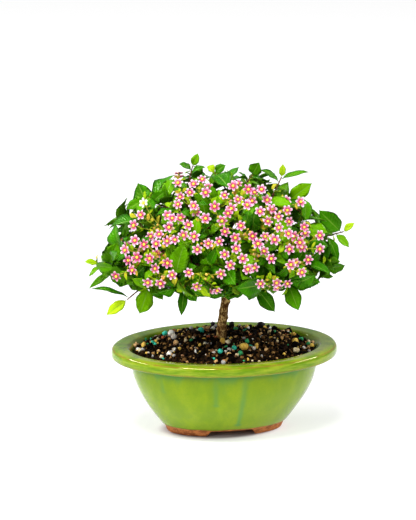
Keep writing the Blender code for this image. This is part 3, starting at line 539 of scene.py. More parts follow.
def shoot_radii(count):
    return np.linspace(SHOOT_RADIUS[0], SHOOT_RADIUS[1], count)


def shoot_point(shoot, share):
    """The point and the tangent at a share of the way along a shoot."""
    place = share * (len(shoot.line) - 1)
    k = min(int(place), len(shoot.line) - 2)
    step = shoot.line[k + 1] - shoot.line[k]
    return shoot.line[k] + (place - k) * step, unit(step)


def leaf_towards(base, tip, width, facing, wave, bend):
    """A leaf from its root to a tip, set out above the straight line so that its arc ends there."""
    reach = tip - base
    chord = np.linalg.norm(reach)
    facing = across_of(reach, facing)
    forward = turned(unit(reach), np.cross(unit(reach), facing), bend / 2)
    facing = across_of(forward, facing)
    length = chord * (bend / 2) / math.sin(bend / 2)
    return Leaf(base, forward, facing, length, width, bend, wave)


def try_leaf(crowd, leaf, spray, owner):
    """Adds the leaf to its spray if nothing is in its way."""
    full = leaf_solid(leaf, swell=CLEARANCE)
    blade = leaf_solid(leaf, start=LEAF_CLEAR_SHARE, swell=CLEARANCE)
    if not crowd.free(full, owner, blade):
        return False
    crowd.take(leaf_solid(leaf), owner, leaf_solid(leaf, start=LEAF_CLEAR_SHARE))
    spray.leaves.append(leaf)
    return True


def grow_accent_leaves(rng, crowd, sprays):
    """The leaves of the shoots that stand out of the crown, each nudged a little until it is clear."""
    for owner, spray in enumerate(sprays):
        for shoot in spray.shoots:
            for share, tip, width, to_viewer in shoot.accent:
                base = shoot_point(shoot, share)[0]
                wanted = (1 - to_viewer) * UP + to_viewer * TO_VIEWER
                for attempt in range(12):
                    nudge = random_vector(rng, 0.5 * MM * attempt)
                    facing = wanted + random_vector(rng, 0.1 + 0.03 * attempt)
                    end = np.array(tip) * MM + nudge
                    wave, bend = rng.uniform(0, 6.28), rng.uniform(0.3, 0.8)
                    leaf = leaf_towards(base, end, width * MM, facing, wave, bend)
                    if try_leaf(crowd, leaf, spray, owner):
                        break


def random_direction(rng, lowest, highest):
    rise = rng.uniform(lowest, highest)
    angle = rng.uniform(0, 2 * math.pi)
    flat = math.sqrt(1 - rise * rise)
    return np.array((flat * math.cos(angle), flat * math.sin(angle), rise))


def seen_direction(across, up):
    """The direction whose point on the crown's near side shows at a place in the view of the best side."""
    choices = [d for d in spread(3000, -0.95, 0.98, 0.0) if np.dot(crown_normal(d), TO_VIEWER) > 0.1]
    shown = np.array([crown_point(d, 1.0) for d in choices])
    upward = shown[:, 1] * math.sin(SEEN_FROM) + shown[:, 2] * math.cos(SEEN_FROM)
    return choices[np.argmin(np.hypot(shown[:, 0] - across, upward - up))]


def umbel_directions(rng):
    """Where the umbels stand, and how many blooms each wants: the set ones, then a few on the back."""
    found = [(seen_direction(across * MM, up * MM), blooms) for across, up, blooms in FRONT_UMBELS]
    back = []
    while len(back) < BACK_UMBELS:
        direction = random_direction(rng, -0.1, 0.8)
        place = crown_point(direction, 1.0)
        apart = [np.linalg.norm(place - crown_point(other, 1.0)) for other in back]
        if direction[1] > 0.5 and min(apart, default=1.0) > BACK_UMBEL_SPACING:
            back.append(direction)
    return found + [(direction, BLOOMS_PER_BACK_UMBEL) for direction in back]


def grow_umbels(rng, crowd, sprays):
    """Each umbel's stalk springs from a near shoot that leaves it a clear way, 0.4 mm off its bark."""
    shoots = [shoot for spray in sprays for shoot in spray.shoots]
    shares = (0.25, 0.4, 0.55, 0.7, 0.85)
    roots = [(share, *shoot_point(shoot, share)) for shoot in shoots for share in shares]
    umbels = []
    for direction, wanted in umbel_directions(rng):
        owner = f"umbel {len(umbels)}"
        for attempt in range(30):
            hub = crown_point(direction, HUB_REACH + rng.uniform(-0.03, 0.03))
            hub = hub + random_vector(rng, 0.15 * MM * attempt)
            roots.sort(key=lambda r: abs(np.linalg.norm(hub - r[1]) - PEDUNCLE_LENGTH))
            share, root, tangent = roots[attempt % 10]
            away = across_of(tangent, hub - root)
            bark = SHOOT_RADIUS[0] + (SHOOT_RADIUS[1] - SHOOT_RADIUS[0]) * share
            foot, bend = root + (bark + JOINT_GAP) * away, root + (bark + 2 * MM) * away
            line = np.array([foot, bend, hub + HUB_CAP * unit(hub - bend)])
            radii = np.linspace(PEDUNCLE_RADIUS[0], PEDUNCLE_RADIUS[1], 3)
            if crowd.free(tube(line, radii + 0.3 * MM, 4), owner):
                crowd.take(tube(line, radii, 4), owner)
                umbels.append(Umbel(line, hub, wanted))
                break
    return umbels


def grow_blooms(rng, crowd, umbels):
    """Blooms stand on the crown's outside, thickest round each umbel's hub, and clear of one another."""
    hubs = [direction_of(u.hub) for u in umbels]
    places = []
    for _ in range(BLOOM_DARTS):
        direction = random_direction(rng, -0.8, 0.97)
        best = nearest(direction, hubs)
        umbel = umbels[best]
        if len(umbel.blooms) == umbel.wanted:
            continue
        place = crown_point(direction, rng.uniform(*BLOOM_REACH))
        offset = np.linalg.norm(place - crown_point(hubs[best], 1.0))
        if rng.random() > math.exp(-((offset / UMBEL_RADIUS) ** 2)):
            continue
        if any(np.linalg.norm(place - other) < BLOOM_SPACING for other in places):
            continue
        front = 1.1 * TO_VIEWER if direction[1] < 0.25 else 0.0
        away = unit(place - umbel.hub)
        facing = unit(crown_normal(direction) + 0.4 * away + front + random_vector(rng, 0.25))
        if np.dot(facing, away) < 0.4:
            continue
        bloom = Bloom(place, facing, BLOOM_RADIUS * rng.uniform(0.9, 1.06), rng.uniform(0, 6.28))
        owner = f"umbel {best}"
        solid = bloom_solid(bloom, umbel.hub)
        star = bloom_solid(bloom, swell=CLEARANCE)
        stalk = tube([umbel.hub, bloom.centre - BLOOM_DEPTH * facing], [PEDICEL_RADIUS + CLEARANCE] * 2, 3)
        if crowd.free(star, owner, star) and crowd.free(stalk, owner):
            crowd.take(solid, owner, bloom_solid(bloom))
            umbel.blooms.append(bloom)
            places.append(place)


def grow_leaves(rng, crowd, sprays):
    """One leaf is tried for each of many spots spread over the crown, from the twig points nearest to it."""
    roots = []
    for owner, spray in enumerate(sprays):
        for shoot in spray.shoots:
            for share in (0.14, 0.26, 0.38, 0.5, 0.62, 0.74, 0.86, 0.97):
                roots.append((owner, shoot_point(shoot, share)[0]))
    places = np.array([root for _, root in roots])
    free = np.ones(len(roots), bool)
    for direction in spread(LEAF_TARGETS, -0.85, 0.99, 0.2):
        spot = crown_point(direction, 0.93 + rng.uniform(-0.07, 0.03))
        gaps = np.linalg.norm(places - spot, axis=1)
        order = np.argsort(np.abs(gaps - LEAF_MIDDLE) + np.where(free, 0, 1))
        for attempt in range(26):
            choice = order[attempt % 7]
            owner, root = roots[choice]
            reach = spot + random_vector(rng, (0.6 + 0.16 * attempt) * MM) - root
            chord = np.clip(1.9 * np.linalg.norm(reach), *LEAF_LENGTH) * (1 - 0.012 * attempt)
            facing = crown_normal(direction) + 0.35 * UP + random_vector(rng, 0.3 + 0.03 * attempt)
            width = chord * rng.uniform(0.5, 0.63)
            wave, bend = rng.uniform(0, 6.28), rng.uniform(0.3, 0.9)
            leaf = leaf_towards(root, root + unit(reach) * chord, width, facing, wave, bend)
            if try_leaf(crowd, leaf, sprays[owner], owner):
                free[choice] = False
                break


def grow():
    """The tree above the fork, laid out from its best side: wood, set leaves, umbels, blooms, leaves."""
    rng = random.Random(GROWTH_SEED)
    crowd = Crowd()
    primaries, sprays = grow_wood(rng, crowd)
    grow_shoots(rng, crowd, sprays)
    grow_accent_leaves(rng, crowd, sprays)
    umbels = grow_umbels(rng, crowd, sprays)
    grow_blooms(rng, crowd, umbels)
    grow_leaves(rng, crowd, sprays)
    return primaries, sprays, [u for u in umbels if u.blooms], crowd


def in_frame(points):
    """Points laid out from the best side, turned with the pot and set down in the object's frame."""
    points = np.asarray(points, float)
    cos, sin = math.cos(BEST_SIDE_TURN), math.sin(BEST_SIDE_TURN)
    x = points[:, 0] * cos + points[:, 1] * sin
    y = -points[:, 0] * sin + points[:, 1] * cos
    return np.stack([x, y, points[:, 2]], axis=1) + PLANT_SHIFT


def body_outside(height):
    """The bowl's outer half length at a height: a quarter sine wave from the foot up to the rim."""
    share = (height - BODY_LOW) / BODY_RISE
    return BODY_FOOT + BODY_SWELL * math.sin(math.pi / 2 * share)


# What the dressing adds to the growth: thin twigs and small leaves that fill the crown, and buds


TWIGLET_COUNT = 150
TWIGLET_RADIUS = (0.45 * MM, 0.3 * MM)
# Layers of small leaves: how many spots, how far out they lie, and the shortest and longest leaf in mm
FILL_LAYERS = ((850, 0.70, 0.97, 9.0, 19.0), (560, 0.40, 0.72, 9.0, 19.0), (750, 0.88, 1.0, 4.5, 8.5))
YOUNG_PER_UMBEL = (3, 7)
YOUNG_PER_BLOOM = 4
BUDS_PER_UMBEL = (4, 9)


def grow_twiglets(rng, crowd, sprays):
    """Thin side twigs run from the nearest shoot to spots spread over the crown, where the way is clear."""
    roots = []
    for owner, spray in enumerate(sprays):
        for shoot in spray.shoots:
            roots += [(owner, shoot_point(shoot, share)[0]) for share in (0.3, 0.45, 0.6, 0.75, 0.9)]
    places = np.array([root for _, root in roots])
    found = [[] for _ in sprays]
    for direction in spread(TWIGLET_COUNT, -0.7, 0.99, 0.9):
        spot = crown_point(direction, 0.84 + rng.uniform(-0.08, 0.06))
        order = np.argsort(np.linalg.norm(places - spot, axis=1))
        for attempt in range(8):
            owner, root = roots[order[attempt % 4]]
            end = spot + random_vector(rng, (0.5 + attempt) * MM)
            if not 5 * MM < np.linalg.norm(end - root) < 26 * MM:
                continue
            bow = across_of(end - root, UP + random_vector(rng, 0.6))
            line = bent_line(root, end, 0.12 * np.linalg.norm(end - root) * bow, 4)
            if crowd.free(tube(line[1:], [TWIGLET_RADIUS[0] + 0.1 * MM] * 3, 4), -1):
                crowd.take(tube(line, [TWIGLET_RADIUS[0]] * 4, 4), owner)
                found[owner].append(Shoot(line))
                break
    return found


def grow_fill(rng, crowd, sprays, twiglets):
    """Smaller leaves on the shoots and thin twigs, each let in where it crosses no leaf, bloom or wood."""
    roots = []
    for owner, spray in enumerate(sprays):
        lines = [(shoot, (0.2, 0.32, 0.44, 0.56, 0.68, 0.8, 0.92, 1.0)) for shoot in spray.shoots]
        lines += [(twiglet, (0.3, 0.5, 0.7, 0.85, 1.0)) for twiglet in twiglets[owner]]
        lines += [(Shoot(spray.limb), (0.5, 0.65, 0.8, 0.95)), (Shoot(spray.stem), (0.3, 0.5, 0.7, 0.9))]
        for line, shares in lines:
            roots += [(owner, shoot_point(line, share)[0]) for share in shares]
    places = np.array([root for _, root in roots])
    free = np.full(len(roots), 3)
    found = [[] for _ in sprays]
    spots = [(direction, layer) for layer in FILL_LAYERS for direction in spread(layer[0], -0.9, 0.995, 1.7)]
    for direction, (_, low, high, shortest, longest) in spots:
        spot = crown_point(direction, rng.uniform(low, high))
        gaps = np.linalg.norm(places - spot, axis=1)
        order = np.argsort(np.abs(gaps - 7 * MM) + np.where(free > 0, 0, 1))
        for attempt in range(9):
            choice = order[attempt % 5]
            owner, root = roots[choice]
            reach = spot + random_vector(rng, (1 + 0.5 * attempt) * MM) - root
            chord = np.clip(1.9 * np.linalg.norm(reach), shortest * MM, longest * MM) * (1 - 0.04 * attempt)
            facing = crown_normal(direction) + 0.4 * UP + random_vector(rng, 0.45)
            width = chord * rng.uniform(0.46, 0.6)
            wave, bend = rng.uniform(0, 6.28), rng.uniform(0.3, 0.9)
            leaf = leaf_towards(root, root + unit(reach) * chord, width, facing, wave, bend)
            blade = leaf_solid(leaf, start=0.2)
            if crowd.free(blade, -1):
                crowd.take(blade, owner)
                found[owner].append(leaf)
                free[choice] -= 1
                break
    return found


def umbel_outward(umbel):
    """The way that an umbel's blooms lie from its hub."""
    return unit(sum(bloom.centre for bloom in umbel.blooms) / len(umbel.blooms) - umbel.hub)


def grow_buds(rng, umbels):
    """Small unopened buds stand among each umbel's blooms, on shorter stalks of their own."""
    found = []
    for umbel in umbels:
        outward = umbel_outward(umbel)
        buds = []
        for _ in range(rng.randint(*BUDS_PER_UMBEL)):
            reach = rng.uniform(5, 9) * MM
            way = unit(outward + random_vector(rng, 0.7))
            buds.append((umbel.hub + reach * way, rng.uniform(0.6, 1.15) * MM))
        found.append(buds)
    return found


# Surfaces as grids of points


def grid_faces(rows, columns):
    """Quads between the neighbours of a grid, row by row. Its last column joins its first."""
    here = np.arange(rows * columns).reshape(rows, columns)
    after = np.roll(here, -1, axis=1)
    return np.stack([here[:-1], after[:-1], after[1:], here[1:]], axis=-1).reshape(-1, 4)


def lengths(vectors):
    return np.linalg.norm(vectors, axis=-1, keepdims=True)


def rough(points, size, seed, waves=16):
    """Smooth lumps between about -1 and 1: the scaled mean of sine waves that run in random directions."""
    draw = np.random.default_rng(seed)
    runs = draw.normal(size=(waves, 3)) * (2 * math.pi / size / 1.7)
    return np.sin(points @ runs.T + draw.uniform(0, 6.28, waves)).mean(axis=-1) * math.sqrt(waves) * 0.8


def bump_at(off, size):
    """A bell curve of how far off a place is: 1 on it, and next to nothing at twice the size."""
    return np.exp(-((off / size) ** 2))


def swept(line, radii, sides):
    """A circle carried along a path: its rings lie square to the path, and both ends close to a point."""
    line = np.asarray(line, float)
    tangent = np.gradient(line, axis=0)
    tangent = tangent / lengths(tangent)
    fixed = np.eye(3)[np.argmin(np.abs(tangent.mean(axis=0)))]
    side = np.cross(tangent, fixed)
    side = side / lengths(side)
    other = np.cross(tangent, side)
    turn = circle(sides)[None, :, None]
    ring = np.cos(turn) * side[:, None] + np.sin(turn) * other[:, None]
    rings = line[:, None] + np.broadcast_to(np.asarray(radii, float), len(line))[:, None, None] * ring
    ends = [np.repeat(line[k][None, None], sides, axis=1) for k in (0, -1)]
    return np.concatenate([ends[0], rings, ends[1]])


def eased_line(line, count, ease=0.1):
    """Points along a broken line, its corners rounded: the mean of three points a little apart along it."""
    line = np.asarray(line, float)
    share = np.linspace(0, 1, count)
    near = np.minimum(ease, np.minimum(share, 1 - share))
    marks = np.linspace(0, 1, len(line))
    taken = [share - near, share, share + near]
    return sum(np.stack([np.interp(at, marks, axis) for axis in line.T], axis=1) for at in taken) / 3


class Heap:
    """Gathers grids into one mesh, with a finish for each face, and a look (three numbers) for each point."""

    def __init__(self):
        self.points, self.faces, self.finishes, self.looks, self.count = [], [], [], [], 0

    def add(self, points, faces, finish=0, look=(0.0, 0.0, 0.0)):
        points = np.asarray(points, float)
        self.looks.append(np.broadcast_to(look, points.shape).reshape(-1, 3))
        points = points.reshape(-1, 3)
        self.points.append(points)
        self.faces.append(faces + self.count)
        self.finishes.append(np.broadcast_to(finish, len(faces)))
        self.count += len(points)

    def rod(self, line, radii, sides, finish=0, look=(0.0, 0.0, 0.0)):
        """A circle carried along a line, with its two closed ends."""
        self.add(swept(line, radii, sides), grid_faces(len(line) + 2, sides), finish, look)

    def piece(self, name, finishes, replaced, turned_with_pot=False, flat_finish=-1):
        """The gathered mesh as a piece that stands for its CAD nodes. Points that meet are joined, and none
        lies outside the solids' box."""
        points = np.concatenate(self.points)
        points = in_frame(points) if turned_with_pot else points
        points = np.clip(points, CAD_BOX[0], CAD_BOX[1])
        mesh = bpy.data.meshes.new(name)
        mesh.from_pydata(points, [], np.concatenate(self.faces))
        kinds = np.concatenate(self.finishes).astype(np.int32)
        mesh.polygons.foreach_set("material_index", kinds)
        mesh.polygons.foreach_set("use_smooth", kinds != flat_finish)
        looks = mesh.attributes.new("look", "FLOAT_VECTOR", "POINT")
        looks.data.foreach_set("vector", np.concatenate(self.looks).astype(np.float32).ravel())
        shape = bmesh.new()
        shape.from_mesh(mesh)
        bmesh.ops.remove_doubles(shape, verts=shape.verts, dist=1e-7)
        shape.to_mesh(mesh)
        shape.free()
        for finish in finishes:
            mesh.materials.append(finish)
        made = in_scene(name, mesh)
        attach(made, "root")
        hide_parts(*replaced)


def in_scene(name, data):
    made = bpy.data.objects.new(name, data)
    bpy.context.scene.collection.objects.link(made)
    return made


# Finishes, with each colour as linear red, green and blue


class Nodes:
    """Makes and joins the nodes of one finish or one shared effect."""

    def __init__(self, tree):
        self.tree = tree

    def put(self, socket, value):
        """Joins an output to a socket, or sets the socket's own value."""
        if isinstance(value, bpy.types.NodeSocket):
            self.tree.links.new(value, socket)
        else:
            socket.default_value = (*value, 1.0) if socket.type == "RGBA" else value

    def add(self, kind, inputs, **settings):
        node = self.tree.nodes.new("ShaderNode" + kind)
        for name, value in settings.items():
            setattr(node, name, value)
        for name, value in inputs.items():
            self.put(node.inputs[name], value)
        return node

    def math(self, operation, first, second=0.0, third=0.0):
        return self.add("Math", {0: first, 1: second, 2: third}, operation=operation).outputs[0]

    def times(self, first, second):
        return self.math("MULTIPLY", first, second)

    def size(self, value):
        return self.math("ABSOLUTE", value)

    def mixed(self, share, first, second, way="MIX"):
        """One colour going over to another by a share."""
        return self.add("Mix", {0: share, 6: first, 7: second}, data_type="RGBA", blend_type=way).outputs[2]

    def layered(self, colour, layers):
        """A colour with others laid over it in turn, each by its share."""
        for share, over in layers:
            colour = self.mixed(share, colour, over)
        return colour

    def eased(self, value, low, high, start=0.0, end=1.0):
        """A soft step from start to end as a value goes from low to high."""
        given = {0: value, 1: low, 2: high, 3: start, 4: end}
        return self.add("MapRange", given, interpolation_type="SMOOTHSTEP").outputs[0]

    def place(self, stretch=(1.0, 1.0, 1.0)):
        """The piece's own coordinates, stretched."""
        own = self.add("TexCoord", {}).outputs["Object"]
        return self.add("Mapping", {"Vector": own, "Scale": stretch}).outputs[0]

    def noise(self, scale, detail=3.0, stretch=(1.0, 1.0, 1.0)):
        given = {"Vector": self.place(stretch), "Scale": scale, "Detail": detail, "Roughness": 0.55}
        return self.add("TexNoise", given).outputs["Fac"]

    def own_look(self):
        return self.add("Attribute", {}, attribute_name="look").outputs["Vector"]

    def look(self):
        """The three numbers that the piece keeps for each point."""
        return self.add("SeparateXYZ", {0: self.own_look()}).outputs

    def bump(self, height, distance, strength=1.0):
        given = {"Height": height, "Distance": distance, "Strength": strength}
        return self.add("Bump", given).outputs[0]

    def effect(self, group, inputs):
        return self.add("Group", inputs, node_tree=group).outputs


def shared_effect(name, inputs, outputs, build):
    """A node group with named inputs and outputs. build(nodes, inputs) returns its outputs by name."""
    tree = bpy.data.node_groups.new(name, "ShaderNodeTree")
    for way, sockets in (("INPUT", inputs), ("OUTPUT", outputs)):
        for label, kind in sockets.items():
            tree.interface.new_socket(label, in_out=way, socket_type="NodeSocket" + kind)
    nodes = Nodes(tree)
    given = tree.nodes.new("NodeGroupInput").outputs
    ends = tree.nodes.new("NodeGroupOutput").inputs
    for label, value in build(nodes, given).items():
        nodes.put(ends[label], value)
    return tree


def finish(name, roughness, build, **sockets):
    """A finish: plain values on the shader's own sockets, and what build(nodes) returns by socket name."""
    made = bpy.data.materials.new(name)
    made.use_nodes = True
    nodes = Nodes(made.node_tree)
    shader = made.node_tree.nodes["Principled BSDF"]
    plain = {"Roughness": roughness} | {label.replace("_", " "): value for label, value in sockets.items()}
    for label, value in (plain | build(nodes)).items():
        nodes.put(shader.inputs[label], value)
    return made


def mottling(nodes, given):
    """Patches of a light and a dark colour, large and small together, on the piece's own coordinates."""
    near = {"Vector": nodes.place(given["Stretch"]), "Detail": 5.0, "Roughness": 0.6}
    broad = nodes.add("TexNoise", near | {"Scale": given["Scale"]}).outputs["Fac"]
    fine = nodes.add("TexNoise", near | {"Scale": nodes.times(given["Scale"], 5.3)}).outputs["Fac"]
    height = nodes.math("ADD", nodes.times(broad, 0.6), nodes.times(fine, 0.4))
    shade = nodes.mixed(nodes.eased(height, 0.42, 0.58), given["Dark"], given["Light"])
    return {"Colour": shade, "Height": height}


def leaf_lines(nodes, _):
    """A leaf's midrib and side veins, by how far a point is across (-1 to 1) and along (0 to 1) the blade."""
    across, along, age_and_shade = nodes.look()
    off = nodes.size(across)
    run = nodes.math("MULTIPLY_ADD", along, 11.0, nodes.times(off, -2.6))
    wave = nodes.size(nodes.math("SUBTRACT", nodes.math("FRACT", run), 0.5))
    swell = nodes.times(nodes.eased(wave, 0.0, 0.5, 1.0, 0.0), nodes.eased(off, 0.0, 0.3))
    midrib, veins = nodes.eased(off, 0.10, 0.02), nodes.eased(wave, 0.40, 0.49)
    return {"Midrib": midrib, "Veins": veins, "Swell": swell, "Age": age_and_shade}


def make_finishes():
    """Every finish by name."""
    mottle = shared_effect(
        "mottling", {"Light": "Color", "Dark": "Color", "Scale": "Float", "Stretch": "Vector"},
        {"Colour": "Color", "Height": "Float"}, mottling)
    lines = shared_effect(
        "leaf lines", {}, {"Midrib": "Float", "Veins": "Float", "Swell": "Float", "Age": "Float"}, leaf_lines)

    def mottled(nodes, light, dark, scale, stretch=(1.0, 1.0, 1.0)):
        return nodes.effect(mottle, {"Light": light, "Dark": dark, "Scale": scale, "Stretch": stretch})

    def stoneware(nodes):
        """Green glaze over red clay: banded on the rim, brown where the edges wear thin, darker in the runs,
        and stopped at a wavy line above the foot. Painted shade darkens it just under the rim's overhang and
        down the inside."""
        thin, run, shade = nodes.look()
        height = nodes.add("SeparateXYZ", {0: nodes.place()}).outputs[2]
        rim = nodes.eased(height, 54.6 * MM, 55.2 * MM)
        bands = nodes.eased(nodes.noise(60.0, 3.0, (1.0, 1.0, 7.0)), 0.35, 0.65)
        edge = nodes.times(thin, nodes.eased(nodes.noise(240.0, 4.0), 0.36, 0.56, 0.35, 1.0))
        lip = nodes.math("MULTIPLY_ADD", nodes.noise(60.0, 3.0), 2.6 * MM, 4.6 * MM)
        over = nodes.math("SUBTRACT", height, lip)
        glazed = nodes.eased(over, -0.1 * MM, 0.25 * MM)
        body = nodes.layered((0.172, 0.288, 0.003), (
            (nodes.eased(nodes.noise(95.0, 4.0, (1.0, 1.0, 0.22)), 0.38, 0.66), (0.228, 0.338, 0.003)),
            (nodes.eased(nodes.noise(22.0, 3.0), 0.40, 0.72, 0.0, 0.3), (0.280, 0.373, 0.003)),
            (nodes.times(rim, 0.75), nodes.mixed(bands, (0.070, 0.185, 0.002), (0.265, 0.335, 0.020))),
            (nodes.eased(nodes.noise(650.0, 2.0), 0.40, 0.65, 0.0, 0.22), (0.12, 0.27, 0.004)),
            # painted shade: dark green under the rim's overhang, down the inner wall and on the buried floor
            (shade, (0.095, 0.190, 0.018)),
            (nodes.eased(run, 0.0, 1.0, 0.0, 0.80), (0.050, 0.240, 0.060)),
            (nodes.times(edge, 0.80), (0.23, 0.12, 0.015)),
            (nodes.times(nodes.eased(nodes.size(over), 1.2 * MM, 0.1 * MM), 0.45), (0.12, 0.10, 0.01)),
        ))
        clay = mottled(nodes, (0.56, 0.185, 0.060), (0.24, 0.060, 0.020), 160.0, (1.0, 1.0, 1.6))
        grain = nodes.times(clay["Height"], nodes.math("SUBTRACT", 1.0, glazed))
        dimple = nodes.times(nodes.noise(170.0, 2.0), 0.10)
        return {
            "Base Color": nodes.mixed(glazed, clay["Colour"], body),
            "Roughness": nodes.eased(glazed, 0.0, 1.0, 0.85, 0.06),
            "Normal": nodes.bump(nodes.math("ADD", grain, dimple), 0.5 * MM, 0.5),
        }

    def bark(light, dark, scale, stretch, depth):
        """Mottled bark, ringed across, darker on its right side as painted shade, and nearly black in its
        scars.
        """
        def build(nodes):
            scar, ring, painted_side_shade = nodes.look()
            skin = mottled(nodes, light, dark, scale, stretch)
            rings = nodes.noise(520.0, 2.0, (0.25, 0.25, 1.0))
            worn = nodes.layered(skin["Colour"], (
                (nodes.eased(rings, 0.55, 0.68, 0.0, 0.5), dark),
                # painted shade: the bark's colour is darkened on the right side, as if lit from the left
                (nodes.times(painted_side_shade, 0.8), dark),
                (nodes.math("MAXIMUM", scar, ring), (0.025, 0.012, 0.006)),
            ))
            relief = nodes.math("MULTIPLY_ADD", rings, 0.5, skin["Height"])
            return {"Base Color": worn, "Normal": nodes.bump(relief, depth, 0.8)}
        return build

    def leaf_face(nodes):
        """Deep green when grown, darker still where low leaves take painted shade, light green when young,
        with a pale midrib and low veins.
        """
        drawn = nodes.effect(lines, {})
        age_and_shade, midrib = drawn["Age"], drawn["Midrib"]
        green = nodes.layered((0.013, 0.105, 0.0), (
            (nodes.eased(nodes.noise(48.0, 3.0), 0.35, 0.65), (0.042, 0.225, 0.0)),
            (nodes.eased(age_and_shade, 0.15, 0.70), (0.150, 0.380, 0.0)),
            (nodes.eased(age_and_shade, 0.65, 1.0), (0.46, 0.66, 0.010)),
            (nodes.eased(age_and_shade, 1.0, 1.3), (0.72, 0.48, 0.05)),
            (nodes.times(drawn["Veins"], 0.22), (0.10, 0.26, 0.03)),
            (nodes.times(midrib, 0.7), (0.16, 0.33, 0.03)),
        ))
        relief = nodes.math("SUBTRACT", drawn["Swell"], nodes.times(midrib, 1.2))
        rub = nodes.noise(420.0, 2.0)
        return {
            "Base Color": green,
            "Roughness": nodes.eased(rub, 0.3, 0.7, 0.18, 0.32),
            "Normal": nodes.bump(nodes.math("MULTIPLY_ADD", rub, 0.3, relief), 0.16 * MM, 0.8),
        }

    def leaf_back(nodes):
        """Paler and matt, with the ribs standing out."""
        drawn = nodes.effect(lines, {})
        ribs = nodes.math("MAXIMUM", drawn["Midrib"], nodes.times(drawn["Veins"], 0.5))
        green = nodes.layered((0.060, 0.200, 0.004), (
            (nodes.eased(drawn["Age"], 0.3, 1.0), (0.36, 0.56, 0.03)),
            (nodes.times(ribs, 0.6), (0.20, 0.34, 0.05)),
        ))
        return {"Base Color": green, "Normal": nodes.bump(ribs, 0.2 * MM, 0.7)}

    def petal(nodes):
        """Magenta at the heart, pink along the blade and paler at its edge and tip, deeper or paler by bloom.
        A tint below -0.5 makes a white bloom."""
        across, along, tint = nodes.look()
        off = nodes.size(across)
        fade = nodes.math("MAXIMUM", nodes.eased(along, 0.45, 0.95), nodes.eased(off, 0.45, 1.0, 0.0, 0.6))
        mid = nodes.mixed(nodes.eased(tint, 0.0, 1.0), (0.74, 0.17, 0.36), (0.52, 0.055, 0.18))
        tip = nodes.mixed(nodes.eased(tint, 0.2, 1.0), (0.97, 0.76, 0.86), (0.89, 0.48, 0.65))
        white = nodes.mixed(nodes.eased(along, 0.45, 0.1), (0.97, 0.88, 0.72), (0.90, 0.62, 0.25))
        return {"Base Color": nodes.layered(mid, (
            (fade, tip),
            (nodes.eased(along, 0.50, 0.20, 0.0, 0.9), (0.47, 0.02, 0.08)),
            (nodes.eased(off, 0.30, 0.0, 0.0, 0.45), (0.68, 0.10, 0.30)),
            (nodes.eased(tint, -0.4, -0.5), white),
        ))}

    def heart(nodes):
        """Yellow on top, orange to red round the foot."""
        rise = nodes.look()[0]
        return {"Base Color": nodes.layered((0.80, 0.16, 0.02), (
            (nodes.eased(rise, 0.0, 0.55), (0.93, 0.66, 0.03)),
            (nodes.eased(rise, 0.6, 1.0, 0.0, 0.6), (0.98, 0.85, 0.12)),
        ))}

    def stalk(nodes):
        """Yellow-green, flushed red on some of the umbels."""
        return {"Base Color": nodes.mixed(nodes.look()[0], (0.40, 0.44, 0.035), (0.46, 0.15, 0.03))}

    def bud(nodes):
        """Pink, orange or red by bud, and green round its foot."""
        rise, _, tint = nodes.look()
        return {"Base Color": nodes.layered((0.88, 0.40, 0.50), (
            (nodes.eased(tint, 0.1, 0.5), (0.86, 0.52, 0.06)),
            (nodes.eased(tint, 0.7, 0.9), (0.72, 0.15, 0.05)),
            (nodes.eased(rise, 0.45, 0.1), (0.40, 0.45, 0.06)),
        ))}

    def earth(nodes):
        skin = mottled(nodes, (0.024, 0.011, 0.004), (0.002, 0.001, 0.0005), 420.0)
        return {"Base Color": skin["Colour"], "Normal": nodes.bump(skin["Height"], 1.2 * MM, 1.0)}

    def stones(nodes):
        """Each stone keeps its own colour, with darker patches and a dusty grain."""
        skin = mottled(nodes, (1.0, 1.0, 1.0), (0.52, 0.42, 0.32), 300.0)
        return {
            "Base Color": nodes.mixed(1.0, nodes.own_look(), skin["Colour"], "MULTIPLY"),
            "Roughness": nodes.eased(skin["Height"], 0.3, 0.7, 0.75, 0.45),
            "Normal": nodes.bump(skin["Height"], 0.4 * MM, 0.7),
        }

    def mesh_plastic(nodes):
        grain = nodes.noise(900.0, 2.0)
        rub = nodes.eased(grain, 0.3, 0.7, 0.38, 0.60)
        return {"Roughness": rub, "Normal": nodes.bump(grain, 0.08 * MM, 0.5)}

    old_wood = bark((1.0, 0.66, 0.25), (0.085, 0.027, 0.002), 230.0, (1.0, 1.0, 0.5), 1.2 * MM)
    young_wood = bark((0.19, 0.070, 0.022), (0.035, 0.012, 0.005), 300.0, (1.0, 1.0, 1.0), 0.3 * MM)
    leaf_sheen = (0.60, 1.0, 0.10)
    return {
        "stoneware": finish("glazed stoneware", 0.2, stoneware, IOR=1.50, Specular_Tint=(0.80, 0.97, 0.33)),
        "trunk": finish("trunk bark", 0.85, old_wood, IOR=1.15),
        "twig": finish("twig bark", 0.6, young_wood, IOR=1.25),
        "leaf": finish("leaf face", 0.3, leaf_face, IOR=1.36, Specular_Tint=leaf_sheen),
        "leaf back": finish("leaf back", 0.6, leaf_back, IOR=1.20, Specular_Tint=leaf_sheen),
        "petal": finish("petal", 0.6, petal, IOR=1.25),
        "heart": finish("bloom heart", 0.6, heart, IOR=1.2),
        "stalk": finish("bloom stalk", 0.5, stalk, IOR=1.25),
        "bud": finish("bud", 0.4, bud),
        "earth": finish("potting soil", 0.95, earth, IOR=1.15),
        "crumbs": finish("crumbs", 0.9, stones, IOR=1.1),
        "stones": finish("grit and gravel", 0.6, stones, IOR=1.35),
        "plastic": finish("screen plastic", 0.5, mesh_plastic, Base_Color=(0.018, 0.018, 0.019)),
    }


# The pot, with its section and runs in mm


POT_COLUMNS = 420
